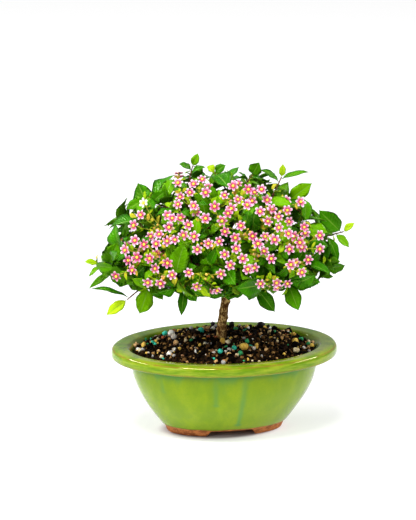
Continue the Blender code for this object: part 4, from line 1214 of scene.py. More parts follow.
# Corners of the wall's section, as (half length, height): foot, then rim and mouth, then floor and underside
FOOT_CORNERS = ((34.5, 0.0), (37.5, 0.0), (41.0, 0.0), (42.2, 0.6), (43.3, 3.4), (44.2, 5.0), (46.1, 6.4))
RIM_CORNERS = (
    (67.7, 53.2), (69.2, 54.4), (74.0, 54.8), (80.7, 54.8), (82.1, 55.3), (82.5, 57.0), (82.5, 59.4),
    (82.0, 61.2), (80.7, 62.4), (78.8, 62.95), (76.5, 63.0), (74.0, 62.75), (71.2, 62.55), (69.8, 61.9),
    (68.4, 60.4), (66.6, 57.8), (64.6, 54.0),
)
FLOOR_CORNERS = (
    (41.0, 11.6), (37.0, 10.6), (31.0, 10.5), (30.0, 10.1), (30.0, 5.4), (30.6, 5.0), (32.3, 5.0),
    (33.2, 4.0), (33.7, 0.8),
)
BOWL_HEIGHTS = (8, 11, 15, 20, 26, 33, 40, 46, 50.8)
INSIDE_HEIGHTS = (50, 44, 36, 28, 20, 15)
WALL = 5
# Edges where the glaze wears thin, as (half length, height, how thin)
EDGE_MARKS = ((81.6, 61.8, 1.0), (82.3, 55.6, 0.8), (70.0, 62.4, 0.5))
# Runs of glaze, as (angle round the pot in degrees, start, end, half width, strength)
RUNS = (
    (-86.5, 52.0, 10.0, 1.9, 1.0), (-104.5, 53.0, 28.0, 2.1, 0.8), (-99.0, 53.0, 38.0, 3.2, 0.35),
    (-141.5, 52.0, 37.5, 1.8, 0.7), (-70.0, 53.0, 46.0, 4.0, 0.35), (-12.0, 52.0, 20.0, 2.8, 0.8),
    (28.0, 52.0, 33.0, 1.8, 0.7), (66.0, 52.0, 14.0, 1.7, 0.9), (104.0, 52.0, 36.0, 2.0, 0.7),
    (139.0, 52.0, 24.0, 1.6, 0.8), (172.0, 52.0, 33.0, 1.8, 0.7),
)
# The floor's slabs: their sides, their oval's half sizes, and their underside and top
SLAB_SIDES = 96
SLAB_HALF = (31, 14.5)
SLAB_LOW, SLAB_HIGH = 5.05, 10.45


def rounded(corners, times):
    """A closed outline with each corner cut to a quarter of its sides, again and again."""
    line = np.asarray(corners, float)
    for _ in range(times):
        after = np.roll(line, -1, axis=0)
        cut = np.stack([0.75 * line + 0.25 * after, 0.25 * line + 0.75 * after], axis=1)
        line = cut.reshape(-1, line.shape[1])
    return line


def pot_section():
    """(half length, height) round the wall's section: foot, bowl, rim and inside, then back underneath."""
    bowl = [(body_outside(h * MM) / MM, h) for h in BOWL_HEIGHTS]
    inside = [(body_outside(h * MM) / MM - WALL, h) for h in INSIDE_HEIGHTS]
    return rounded([*FOOT_CORNERS, *bowl, *RIM_CORNERS, *inside, *FLOOR_CORNERS], 2)


def glaze_runs(turn, height):
    """How thickly glaze pools at an angle round the pot and a height: under the rim in a ragged veil, and in
    soft runs that narrow on the way down and end in a small bead."""
    ragged = 46.5 + 2.2 * np.sin(9 * turn + 1.0) + 1.6 * np.sin(23 * turn) + 1.0 * np.sin(41 * turn + 2.0)
    thick = 0.60 * np.clip((height - ragged + 3) / 8, 0, 1) ** 1.5
    for middle, start, end, half, strength in RUNS:
        off = np.abs((turn - math.radians(middle) + math.pi) % (2 * math.pi) - math.pi)
        off = off * (30 + 0.45 * height)
        gone = np.clip((start - height) / (start - end), 0, 1)
        across = off / (half * (1.25 - 0.6 * gone))
        down = np.clip((height - end + 1.2) / 1.6, 0, 1) * (0.65 + 0.35 * gone)
        wobble = 1 + 0.10 * np.sin(0.5 * height + middle) + 0.06 * np.sin(1.3 * height)
        bead = 0.9 * bump_at(off, 2.0) * bump_at(height - end - 0.6, 1.4)
        thick = np.maximum(thick, strength * bump_at(across * wobble, 1) * down * 0.75)
        thick = np.maximum(thick, strength * bead)
    return thick


def floor_slab(side):
    """Half of the floor, round its drain: from the hole's circle out to the middle line and the oval wall."""
    way = circle(SLAB_SIDES)
    cos, sin = np.cos(way), np.sin(way)
    centre, (long, wide) = DRAIN_OFFSET / MM, SLAB_HALF
    a, b = (cos / long) ** 2 + (sin / wide) ** 2, centre * cos / long**2
    wall = (-b + np.sqrt(b * b - a * ((centre / long) ** 2 - 1))) / a
    reach = np.minimum(wall, np.where(cos < 0, (centre + 0.05) / np.maximum(-cos, 1e-6), 1e9))
    hole = np.full(SLAB_SIDES, DRAIN_RADIUS / MM)
    rings = [(hole, SLAB_LOW), (reach, SLAB_LOW), (reach, SLAB_HIGH), (hole, SLAB_HIGH), (hole, SLAB_LOW)]
    slab = np.stack([np.stack([side * (centre + r * cos), r * sin, 0 * r + h], axis=-1) for r, h in rings])
    return slab * MM + PLANT_SHIFT, grid_faces(len(rings), SLAB_SIDES)[:, ::side]


def make_pot(finishes):
    """The bowl is its section carried round an oval set in evenly from the rim, with a slight waver and
    the runs of glaze standing proud. The foot lifts to a notch at the front and back."""
    heap = Heap()
    section = pot_section()
    half, height = section[:, :1], section[:, 1:]
    turn = circle(POT_COLUMNS)[None]
    outside = (np.arange(len(half)) < len(half) * 0.62)[:, None]
    runs = glaze_runs(turn, height) * outside * (height < 54.5)
    x = half * np.cos(turn)
    y = (half - INSET / MM) * np.sin(turn)
    lift = NOTCH_HEIGHT / MM * np.clip((NOTCH_HALF_LOW / MM + 0.3 - np.abs(x)) / 3.0, 0, 1)
    z = np.where(height < NOTCH_HEIGHT / MM, np.maximum(height, lift), height) + 0 * x
    waver = 0.16 * rough(np.stack([x, y, z], axis=-1), 26.0, 3) * (height > 9)
    out = 1 + (0.2 * runs + waver * outside) / half
    points = np.stack([x * out, y * out, z], axis=-1) * MM + PLANT_SHIFT
    worn = sum(share * bump_at(np.hypot(half - a, height - h), 0.75) for a, h, share in EDGE_MARKS)
    front = np.clip(-np.sin(turn), 0, 1) * bump_at(half - 75.5, 3.5) * (height > 61)
    thin = np.clip(worn + 0.6 * front, 0, 1)
    # painted shade: a band just under the rim's overhang, and the whole inside wall below the lip
    shade = bump_at(height - 51.5, 2.6) * (half < 74) * outside + 0.85 * (outside == 0) * (height < 62.3)
    look = np.stack([thin, runs, np.broadcast_to(np.clip(shade, 0, 1), x.shape)], axis=-1)
    rows = np.concatenate([points, points[:1]])
    heap.add(rows, grid_faces(len(rows), POT_COLUMNS)[:, ::-1], 0, np.concatenate([look, look[:1]]))
    # The floor's slabs carry 0.35 of painted shade
    for side in (-1, 1):
        heap.add(*floor_slab(side), 0, (0.0, 0.0, 0.35))
    heap.piece("glazed_pot", [finishes["stoneware"]], ("pot",))


# The soil


SOIL_COLUMNS = 240
SOIL_ROWS = 46
# The soil's side down the pot's inside and along its floor, as (half length, height) in mm
SOIL_SIDE = ((64.0, 55.0), (61.4, 44.0), (56.0, 30.0), (47.5, 17.0), (39.5, 12.2), (30.0, 11.9), (16.5, 11.9))
# Crumbs and clods: how many, the smallest and largest half size in mm, and the odds of each tone
CRUMBS = ((3300, 0.4, 1.1, (0.46, 0.26, 0.19, 0.09)), (150, 1.2, 2.1, (0.6, 0.35, 0.05, 0.0)))
CRUMB_TONES = ((0.003, 0.0015, 0.0006), (0.020, 0.010, 0.003), (0.110, 0.055, 0.017), (0.46, 0.27, 0.10))
GRAVEL_COUNT = 250
GRAVEL = {
    "ochre": (1.0, 0.66, 0.11), "tan": (0.85, 0.52, 0.22), "cream": (1.0, 0.88, 0.58),
    "white": (0.98, 0.98, 0.95), "grey": (0.48, 0.48, 0.48), "turquoise": (0.04, 0.76, 0.58),
    "green": (0.03, 0.42, 0.15), "rust": (0.50, 0.13, 0.04), "brown": (0.25, 0.12, 0.05),
    "clod": (0.006, 0.003, 0.0015),
}
# The odds of each kind of gravel above, but for the clods
GRAVEL_ODDS = (0.15, 0.20, 0.15, 0.13, 0.09, 0.03, 0.04, 0.06, 0.15)
# Stones that stand out, as the best side shows them, in mm: across, up the view, half size, colour
MARKED_STONES = (
    (13.4, 57.4, 3.4, "ochre"), (-1.2, 61.3, 2.5, "ochre"), (2.6, 61.2, 2.0, "cream"),
    (51.1, 61.4, 2.5, "ochre"), (-17.0, 69.0, 2.3, "turquoise"), (-3.2, 54.5, 2.0, "turquoise"),
    (7.2, 57.1, 1.9, "turquoise"), (-43.0, 67.0, 2.2, "turquoise"), (-51.7, 60.6, 1.9, "turquoise"),
    (-63.9, 58.3, 2.4, "tan"), (-58.1, 58.3, 2.4, "ochre"), (-62.5, 55.7, 1.8, "white"),
    (-38.8, 66.1, 3.0, "white"), (-36.5, 64.4, 2.3, "white"), (-8.3, 70.4, 1.9, "white"),
    (-6.1, 72.6, 1.7, "grey"), (-46.6, 67.6, 2.0, "rust"), (-54.3, 65.7, 1.8, "tan"),
    (-57.8, 62.1, 2.0, "green"), (-40.1, 53.1, 1.9, "white"), (51.6, 55.2, 2.2, "cream"),
    (-49.2, 61.5, 1.5, "ochre"), (46.4, 68.7, 1.7, "tan"), (50.1, 66.4, 1.9, "ochre"),
    (63.3, 58.1, 2.1, "ochre"), (64.3, 60.8, 1.6, "tan"), (16.4, 71.8, 1.7, "ochre"),
    (55.4, 63.2, 1.7, "green"), (60.7, 60.1, 1.6, "green"), (8.3, 70.5, 1.7, "green"),
    (16.5, 61.6, 1.9, "green"), (11.6, 53.3, 2.0, "green"), (-44.4, 63.9, 1.8, "rust"),
    (-3.0, 60.0, 1.4, "rust"), (-47.5, 55.4, 1.3, "tan"), (-35.3, 60.8, 1.9, "tan"),
    (-28.0, 62.5, 1.5, "cream"), (33.0, 68.0, 1.9, "cream"), (26.5, 66.5, 1.7, "tan"),
    (38.0, 62.0, 1.5, "cream"), (-20.0, 57.0, 1.3, "tan"), (30.0, 56.0, 1.3, "tan"),
    (-8.3, 75.5, 2.3, "clod"), (5.4, 75.5, 2.3, "clod"), (27.0, 78.0, 2.9, "clod"),
    (31.4, 74.0, 2.2, "clod"), (-33.0, 68.6, 1.9, "ochre"), (-24.0, 71.0, 1.6, "grey"),
    (-55.5, 59.5, 1.5, "green"), (57.5, 57.4, 1.4, "white"),
)
# How far back and forth the marked stones are looked for, and in how many steps
SEARCH_FROM, SEARCH_TO, SEARCH_STEPS = -48 * MM, 44 * MM, 300


def mound(places):
    """The soil's height at places across the pot, in metres: a domed mound with clods of two sizes."""
    share = np.hypot(places[..., 0] / SOIL_HALF_LENGTH, places[..., 1] / (SOIL_HALF_LENGTH - INSET))
    share = np.clip(share, 0, 1)
    spots = np.concatenate([places[..., :2], 0 * places[..., :1]], axis=-1)
    clods = 0.75 * rough(spots, 9 * MM, 21) + 0.5 * rough(spots, 4.0 * MM, 22)
    return SOIL_EDGE + SOIL_MOUND * (1 - share**5) ** 0.9 + clods * MM * (1 - 0.6 * share**6)


def lumps(heap, places, sizes, looks, rng, rows=5, columns=7, finish=0):
    """Rough stones or crumbs: balls stretched by three half sizes, dented by waves, and turned any way."""
    count = len(places)
    polar = np.linspace(0, math.pi, rows)[:, None]
    around = circle(columns)[None]
    ball = np.stack([np.sin(polar) * np.cos(around), np.sin(polar) * np.sin(around),
                     -np.cos(polar) + 0 * around], axis=-1)
    spin, _ = np.linalg.qr(rng.normal(size=(count, 3, 3)))
    spin = spin * np.sign(np.linalg.det(spin))[:, None, None]
    dent = 1
    for depth, pitch in ((0.17, 3.1), (0.10, 5.5)):
        dent = dent + depth * np.sin(pitch * (ball @ rng.normal(size=(3, count)) + rng.uniform(0, 6, count)))
    shaped = ball[None] * np.moveaxis(dent, -1, 0)[..., None] * sizes[:, None, None, :]
    points = np.einsum("nrci,nij->nrcj", shaped, spin) + places[:, None, None, :]
    for pole in (0, -1):
        points[:, pole] = points[:, pole].mean(axis=1, keepdims=True)
    faces = grid_faces(rows, columns)
    every = (faces[None] + (np.arange(count) * rows * columns)[:, None, None]).reshape(-1, 4)
    heap.add(points, every, finish, np.asarray(looks)[:, None, None, :])


def strewn(rng, count, smallest, largest, stretch, sink):
    """Places all over the mound and half sizes for a number of crumbs or stones."""
    far, way = np.sqrt(rng.uniform(0, 1, count)), rng.uniform(0, 6.28, count)
    width = SOIL_HALF_LENGTH - INSET
    places = np.stack([far * SOIL_HALF_LENGTH * np.cos(way), far * width * np.sin(way), 0 * far], axis=1)
    size = rng.uniform(smallest, largest, count) * MM
    places[:, 2] = mound(places) + sink * size
    return places, size[:, None] * rng.uniform(1 / stretch, stretch, (count, 3))


def marked_places(marked):
    """Where the marked stones lie: each on the nearest spot of the mound that shows at its place in view."""
    away = np.linspace(SEARCH_FROM, SEARCH_TO, SEARCH_STEPS)
    across, height = marked[:, :1], marked[:, 1:2]
    places = np.stack(np.broadcast_arrays(across, away), axis=-1)
    cos, sin = math.cos(BEST_SIDE_TURN), math.sin(BEST_SIDE_TURN)
    places = places @ np.array([[cos, -sin], [sin, cos]])
    shown = mound(places) * math.cos(SEEN_FROM) + away * math.sin(SEEN_FROM)
    wanted = np.minimum(height, shown.max(axis=1)[:, None])
    near = np.argmax(np.maximum.accumulate(shown, axis=1) >= wanted, axis=1)
    places = places[np.arange(len(marked)), near]
    return np.concatenate([places, mound(places)[:, None] + 0.6 * marked[:, 2:]], axis=1)


def make_soil(finishes):
    """The mound, closed down the pot's inside, strewn with crumbs, gravel and marked stones."""
    heap = Heap()
    turn = circle(SOIL_COLUMNS)[None]
    share = np.linspace(0, 1, SOIL_ROWS)[:, None] ** 0.8
    edge = SOIL_HALF_LENGTH + 0.9 * MM
    wide, deep = share * edge * np.cos(turn), share * (edge - INSET) * np.sin(turn)
    top = np.stack([wide, deep, 0 * wide], axis=-1)
    top[..., 2] = mound(top)
    rings = [np.stack([a * MM * np.cos(turn), (a * MM - INSET) * np.sin(turn), h * MM + 0 * turn], axis=-1)
             for a, h in SOIL_SIDE]
    middle = np.zeros_like(top[:1]) + (0, 0, SOIL_SIDE[-1][1] * MM)
    points = np.concatenate([top] + rings + [middle])
    points[-2] = points[-2] * (1, 0, 1)
    heap.add(points + PLANT_SHIFT, grid_faces(len(points), SOIL_COLUMNS)[:, ::-1])
    rng = np.random.default_rng(GROWTH_SEED + 5)
    for count, smallest, largest, odds in CRUMBS:
        places, sizes = strewn(rng, count, smallest, largest, 1.7, 0.35)
        tones = np.array(CRUMB_TONES)[rng.choice(4, count, p=odds)]
        lumps(heap, places + PLANT_SHIFT, sizes, tones, rng, rows=4, columns=6, finish=1)
    places, sizes = strewn(rng, GRAVEL_COUNT, 0.6, 1.6, 1.25, 0.5)
    tones = np.array(list(GRAVEL.values()))[rng.choice(len(GRAVEL_ODDS), GRAVEL_COUNT, p=GRAVEL_ODDS)]
    lumps(heap, places + PLANT_SHIFT, sizes, tones, rng, finish=2)
    marked = np.array([stone[:3] for stone in MARKED_STONES]) * MM
    sizes = marked[:, 2:] * rng.uniform(0.8, 1.08, (len(marked), 3))
    tones = [GRAVEL[stone[3]] for stone in MARKED_STONES]
    lumps(heap, marked_places(marked) + PLANT_SHIFT, sizes, tones, rng, rows=7, columns=10, finish=2)
    looks = [finishes[kind] for kind in ("earth", "crumbs", "stones")]
    heap.piece("soil_and_grit", looks, ("soil",), flat_finish=1)


# The wood


TRUNK_ROWS = 130
BARK_SIDES = 48
BARK_FROM, BARK_TO = 56 * MM, 107.5 * MM
# How many rows a corner of the trunk's line is rounded over
CORNER_ROWS = 17
# Heights of the ring scars, in mm
RING_SCARS = (73.0, 79.6, 86.4, 91.8, 99.2, 103.0)
# Surface roots: which way each runs, and how far in mm
ROOTS = ((-1.0, -0.25, 8.0), (0.9, -0.5, 7.0), (0.5, 0.9, 7.5), (-0.6, 0.8, 7.0))
ROOT_START = np.array((-2.4, 0, 68.0)) * MM


def along_trunk(rise, heights, values):
    """A value read off the trunk's line at each height, its corners rounded by a running mean."""
    padded = np.pad(np.interp(rise, heights, values), CORNER_ROWS // 2, "edge")
    return np.convolve(padded, np.ones(CORNER_ROWS) / CORNER_ROWS, "valid")


def bark_skin():
    """The trunk's skin and its look: a circle carried up a bent axis, with a flare at the soil, low ridges,
    ring scars and the stumps of shed branches. Its right side is darker, as painted shade."""
    line, radii = trunk_line()
    rise = np.linspace(BARK_FROM, BARK_TO, TRUNK_ROWS)
    axis = np.stack([along_trunk(rise, line[:, 2], line[:, 0]), 0 * rise, rise], axis=1)
    skin = swept(axis, along_trunk(rise, line[:, 2], radii), BARK_SIDES)
    inner = skin[1:-1]
    out = inner - axis[:, None]
    around = np.arctan2(out[..., 1], out[..., 0])
    height = (rise[:, None] + 0 * around) / MM
    flare = 0.9 * bump_at(height - 65.5, 3.2) * (1 + 0.35 * np.cos(5 * around + 0.7))
    ridges = 0.16 * rough(inner * (1, 1, 0.35) / MM, 3.1, 31) + 0.12 * rough(inner / MM, 5.0, 32)
    look = np.zeros_like(skin)
    scar, ring, painted_side_shade = np.moveaxis(look[1:-1], -1, 0)
    for place, angle in TRUNK_KNOTS:
        off = ((around + angle + math.pi) % (2 * math.pi) - math.pi) * 3.2
        above = height - place / MM
        pit = bump_at(off, 0.6) * bump_at(above, 0.6)
        ridges = ridges + 1.25 * bump_at(off, 1.25) * bump_at(above, 1.25) - 0.35 * pit
        scar[:] = np.maximum(scar, pit)
    for place in RING_SCARS:
        band = bump_at(height - place + 0.5 * np.sin(around + place), 0.35)
        ring[:] = np.maximum(ring, 0.55 * band)
        ridges = ridges + 0.22 * bump_at(height - place - 0.7, 0.9) - 0.12 * band
    inner += out / lengths(out) * ((ridges + flare) * MM)[..., None]
    # painted shade: darker towards the right (+X across), lighter to the left, broken up a little
    painted_side_shade[:] = np.clip(0.10 + 0.95 * np.cos(around - 0.1) + 0.5 * rough(inner / MM, 4.0, 33), 0, 1)
    return skin, look


def make_trunk(primaries, sprays, finishes):
    """The trunk with its surface roots. The primaries and limbs go on from it."""
    heap = Heap()
    skin, look = bark_skin()
    heap.add(skin, grid_faces(len(skin), BARK_SIDES), 0, look)
    steps = np.linspace(0, 1, 9)
    for dx, dy, end in ROOTS:
        spine = ROOT_START + steps[:, None] * (end * unit((dx, dy, 0)) * MM)
        spine[:, 2] -= (3.4 * steps**1.3) * MM
        heap.rod(spine, (1.7 - 1.1 * steps) * MM, 10)
    low = FORK - UP * 2.5 * MM
    for end in primaries:
        spine = low + steps[:, None] * (end + 0.8 * MM * unit(end - FORK) - low)
        spine += np.sin(math.pi * steps[:, None]) * 0.25 * MM
        width = np.linspace(PRIMARY_RADIUS[0] + 0.1 * MM, PRIMARY_RADIUS[1], 9)
        heap.rod(spine, width * (1 + 0.06 * np.sin(np.arange(9) * 2.3)), 14, 1)
    for number, spray in enumerate(sprays):
        spine = eased_line(np.vstack([spray.limb, spray.stem[:1]]), 14)
        width = np.linspace(*LIMB_RADIUS, 14) * (1 + 0.07 * np.sin(np.arange(14) * 1.9 + number))
        heap.rod(spine, width, 10, 1)
    heap.piece("bark_wood", [finishes["trunk"], finishes["twig"]], ("trunk",), True)


# Leaves


# Where a leaf's rows of points lie along it: on a large leaf, on a small one, and on the smallest
LARGE_ROWS = np.array((0, 0.09, 0.15, 0.18, 0.23, 0.30, 0.38, 0.47, 0.56, 0.65, 0.74, 0.82, 0.89, 0.95, 1))
SMALL_ROWS = np.array((0.0, 0.12, 0.17, 0.26, 0.38, 0.52, 0.66, 0.79, 0.90, 1.0))
SPROUT_ROWS = np.array((0.0, 0.16, 0.30, 0.50, 0.72, 1.0))
# Round a blade's edge, over its face and back beneath: how far across, and which points and faces lie beneath
PETAL_LOOP = np.array((1.0, 0.5, 0.0, -0.5, -1.0, -0.5, 0.0, 0.5))
LEAF_LOOP = np.array((1.0, 0.55, 0.0, -0.55, -1.0, -0.55, 0.0, 0.55))
POINTS_UNDER = np.array((0, 0, 0, 0, 0, 1, 1, 1))
FACES_UNDER = np.array((0, 0, 0, 0, 1, 1, 1, 1))
LEAF_FOLD, LEAF_WAVE, LEAF_RIPPLE = 0.40, 0.16, 0.05
BLADE_HALF, STALK_HALF, STALK_WIDTH = 0.13 * MM, 0.32 * MM, 0.34 * MM


def fine_leaf(heap, leaf, age_and_shade, rows, first_finish=0):
    """A leaf as a thin closed blade, over its face and back beneath. The midrib is an arc, the halves fold up
    from it and wave, the margin ripples, the tip draws out to a point, and the stalk is round."""
    along, across = rows[:, None], LEAF_LOOP[None]
    side = np.cross(leaf.facing, leaf.forward)
    turn = (leaf.bend * along)[..., None]
    cos, sin = np.cos(turn), np.sin(turn)
    facing = cos * leaf.facing + sin * leaf.forward
    middle = leaf.base + leaf.length / leaf.bend * (sin * leaf.forward - (1 - cos) * leaf.facing)
    blade = np.clip((along - STALK_SHARE) / (1 - STALK_SHARE), 0, 1)
    oval = np.sin(math.pi * blade**0.88) ** (0.62 + 0.75 * blade**4)
    ripple = 1 + LEAF_RIPPLE * np.sin(19 * along + 2 * leaf.wave) * np.abs(across)
    half = np.maximum(leaf.width / 2 * oval * ripple, STALK_WIDTH * np.minimum(1, 6 * (1 - along)))
    on_blade = along > STALK_SHARE + 0.01
    wave = np.sin(3.1 * math.pi * along + leaf.wave + 1.3 * across)
    lift = LEAF_FOLD * np.abs(across) + LEAF_WAVE * across * np.abs(across) * wave
    lift = lift + LEAF_RIPPLE * across**2 * np.sin(15 * along + 3 * leaf.wave)
    thick = np.where(on_blade, BLADE_HALF, STALK_HALF) * np.sqrt(1 - across**2)
    thick = thick * (1 - 2 * POINTS_UNDER) * np.minimum(1, 20 * (1 - along))
    lift = lift * np.where(on_blade, half, 0) + thick
    points = middle + (across * half)[..., None] * side + lift[..., None] * facing
    points[0] = points[0].mean(axis=0)
    look = np.stack(np.broadcast_arrays(across, along, age_and_shade), axis=-1)
    kinds = np.tile(FACES_UNDER, len(rows) - 1) + first_finish
    heap.add(points, grid_faces(len(rows), len(LEAF_LOOP)), kinds, look)


# Leaves whose age shows: where the tip is, as the best side shows it in mm, and the age (1 is the youngest)
KNOWN_AGES = (
    ((-84, -34, 94), 1.0), ((-60, -43, 97), 0.55), ((-31, -45, 96), 0.15), ((-88, -33, 124), 0.1),
    ((-98, -19, 110), 0.3), ((-100, -10, 128), 0.85), ((-99, -12, 118), 0.5), ((70, -5, 161), 0.0),
    ((92, 1, 153), 0.9), ((90, -4, 137), 0.5), ((61, -7, 183), 0.55), ((59, -4, 195), 0.3),
    ((42, -3, 197), 0.9), ((-20, -5, 204), 0.6), ((24, -4, 197), 0.3), ((6, -55, 108), 0.1),
    ((-15, -37, 103), 0.2), ((-31, -65, 151), 0.4), ((-74, -38, 141), 0.15), ((76, -40, 131), 0.1),
    ((34, -51, 102), 0.2), ((52, -47, 101), 0.3), ((-71, -10, 166), 0.3), ((-41, -27, 106), 0.3),
    ((-43, -23, 187), 0.2),
)
KNOWN_NEAR = 2.5 * MM
YOUNG_LENGTH = 8.6 * MM
# Grown leaves whose tips lie lower than this are drawn darker: painted shade under the crown
PAINTED_SHADE_BELOW = 112 * MM


def leaf_age_and_shade(rng, leaf, fill):
    """From 0, old and dark, to 1, young and light. Most are grown, and some of the small ones are young.
    Grown leaves low in the crown are drawn darker still, as painted shade.
    """
    tip = leaf.base + leaf.length * leaf.forward
    for place, age_and_shade in KNOWN_AGES:
        if np.linalg.norm(tip - np.array(place) * MM) < KNOWN_NEAR:
            return age_and_shade
    if leaf.length < YOUNG_LENGTH:
        return rng.uniform(0.35, 1.2)
    if rng.random() < (0.30 if fill else 0.12):
        return rng.uniform(0.35, 0.55) if leaf.length > 12 * MM else rng.uniform(0.6, 0.95)
    # painted shade: low grown leaves are drawn darker
    return rng.uniform(0.0, 0.38) * (0.4 if tip[2] < PAINTED_SHADE_BELOW else 1.0)


def make_spray(number, spray, twiglets, fill, rng, finishes):
    """One leafy spray: its stem and shoots, the thin twigs, its own leaves and the small ones between."""
    heap = Heap()
    heap.rod(eased_line(spray.stem, 10), np.linspace(*STEM_RADIUS, 10), 8, 2)
    for shoot in spray.shoots:
        width = np.linspace(SHOOT_RADIUS[0] - 0.1 * MM, SHOOT_RADIUS[1] - 0.2 * MM, 16)
        heap.rod(eased_line(shoot.line, 16), width * (1 + 0.10 * np.sin(np.arange(16) * 2.1)), 7, 2)
    for twiglet in twiglets:
        heap.rod(eased_line(twiglet.line, 8), np.linspace(*TWIGLET_RADIUS, 8), 5, 2)
    for leaf in spray.leaves:
        fine_leaf(heap, leaf, leaf_age_and_shade(rng, leaf, False), LARGE_ROWS)
    for leaf in fill:
        rows = SMALL_ROWS if leaf.length > YOUNG_LENGTH else SPROUT_ROWS
        fine_leaf(heap, leaf, leaf_age_and_shade(rng, leaf, True), rows)
    name = f"spray_{number:02d}"
    looks = [finishes[kind] for kind in ("leaf", "leaf back", "twig")]
    heap.piece(f"leafy_{name}", looks, (name,), True)


# Blooms


PETAL_ROWS = np.array((0.0, 0.22, 0.45, 0.68, 0.88, 0.97, 1.0))
PETAL_THICK = 0.10 * MM
PETAL_START = 0.75 * MM
# Outlines that are turned about a bloom's or a bud's axis, as (radius, rise)
HEART_DOME = np.array(((0.0, -0.3), (0.98, -0.25), (1.14, 0.15), (0.93, 0.6), (0.5, 0.9), (0.0, 1.0)))
HEART_RISES = (0.0, 0.0, 0.25, 0.7, 0.95, 1.0)
BLOOM_CUP = np.array(((0.0, -1.35), (0.45, -1.3), (0.9, -0.75), (1.1, -0.15), (0.0, -0.1)))
BUD_SHAPE = np.array(((0, -0.9), (0.55, -0.75), (0.95, -0.1), (0.85, 0.55), (0.4, 1.0), (0, 1.1)))
ANTHERS = 8
WHITE_TINT = -1.0


def fine_petals(heap, bloom, tint, rng):
    """Six petals, each a thin closed spoon: a narrow claw that widens to a round cupped blade, fringed."""
    side = across_of(bloom.facing, UP)
    other = np.cross(bloom.facing, side)
    turn = bloom.turn + circle(PETALS) + rng.uniform(-0.09, 0.09, PETALS)
    reach = (bloom.radius * rng.uniform(0.93, 1.04, PETALS))[:, None, None]
    slant, droop = (rng.uniform(-0.25, 0.25, PETALS)[:, None, None] for _ in range(2))
    along, across = PETAL_ROWS[None, :, None], PETAL_LOOP[None, None]
    lobe = np.clip(1 - (np.maximum(along - 0.55, 0) / 0.45) ** 2, 0, 1) ** 0.6
    claw = 0.45 + 0.55 * np.sin(np.clip(along / 0.62, 0, 1) * math.pi / 2) ** 2
    half = 0.272 * bloom.radius * claw * lobe
    far = PETAL_START + along * (reach - PETAL_START) + 0.03 * reach * np.cos(5 * across) * (along > 0.9)
    lift = PETAL_LIFT * reach * along**1.4 + droop * MM * along**2 - 0.1 * MM
    lift = lift + (0.22 * across**2 + slant * across) * half * 1.6
    lift = lift + PETAL_THICK * (1 - 2 * POINTS_UNDER) * np.sqrt(1 - across**2) * (along < 0.99)
    cos, sin = np.cos(turn)[:, None], np.sin(turn)[:, None]
    out, tangent = ((a * side + b * other)[:, None, None] for a, b in ((cos, sin), (-sin, cos)))
    points = bloom.centre + far[..., None] * out - (across * half)[..., None] * tangent
    points = points + lift[..., None] * bloom.facing
    look = np.stack(np.broadcast_arrays(across, along, tint + 0 * reach), axis=-1)
    faces = grid_faces(len(PETAL_ROWS), len(PETAL_LOOP))
    firsts = np.arange(PETALS) * len(PETAL_ROWS) * len(PETAL_LOOP)
    heap.add(points, (faces[None, :, ::-1] + firsts[:, None, None]).reshape(-1, 4), 0, look)


def revolved(heap, centre, axis, profile, columns, finish, look):
    """A profile of (radius, rise) in mm turned about an axis, with a look for each of its points."""
    side = across_of(axis, UP + 0.3 * TO_VIEWER)
    other = np.cross(axis, side)
    turn = circle(columns)[None, :, None]
    radius, rise = (profile * MM).T[:, :, None, None]
    points = centre + radius * (np.cos(turn) * side + np.sin(turn) * other) + rise * axis
    heap.add(points, grid_faces(len(profile), columns), finish, np.asarray(look, float)[:, None, :])


def fine_heart(heap, bloom, rng):
    """A domed yellow heart with a ring of small anthers, and a green cup beneath."""
    scale = bloom.radius / (4.5 * MM)
    rises = [(rise, 0, 0) for rise in HEART_RISES]
    revolved(heap, bloom.centre, bloom.facing, HEART_DOME * scale, 10, 1, rises)
    revolved(heap, bloom.centre, bloom.facing, BLOOM_CUP * scale, 7, 2, [(0.1, 0, 0)] * len(BLOOM_CUP))
    side = across_of(bloom.facing, UP)
    other = np.cross(bloom.facing, side)
    turn = (bloom.turn + circle(ANTHERS))[:, None]
    ring = 0.84 * MM * scale * (np.cos(turn) * side + np.sin(turn) * other)
    tips = bloom.centre + ring + 0.78 * MM * scale * bloom.facing
    sizes, looks = np.full((ANTHERS, 3), 0.27 * MM * scale), np.tile((0.9, 0, 0), (ANTHERS, 1))
    lumps(heap, tips, sizes, looks, rng, 4, 5, 1)


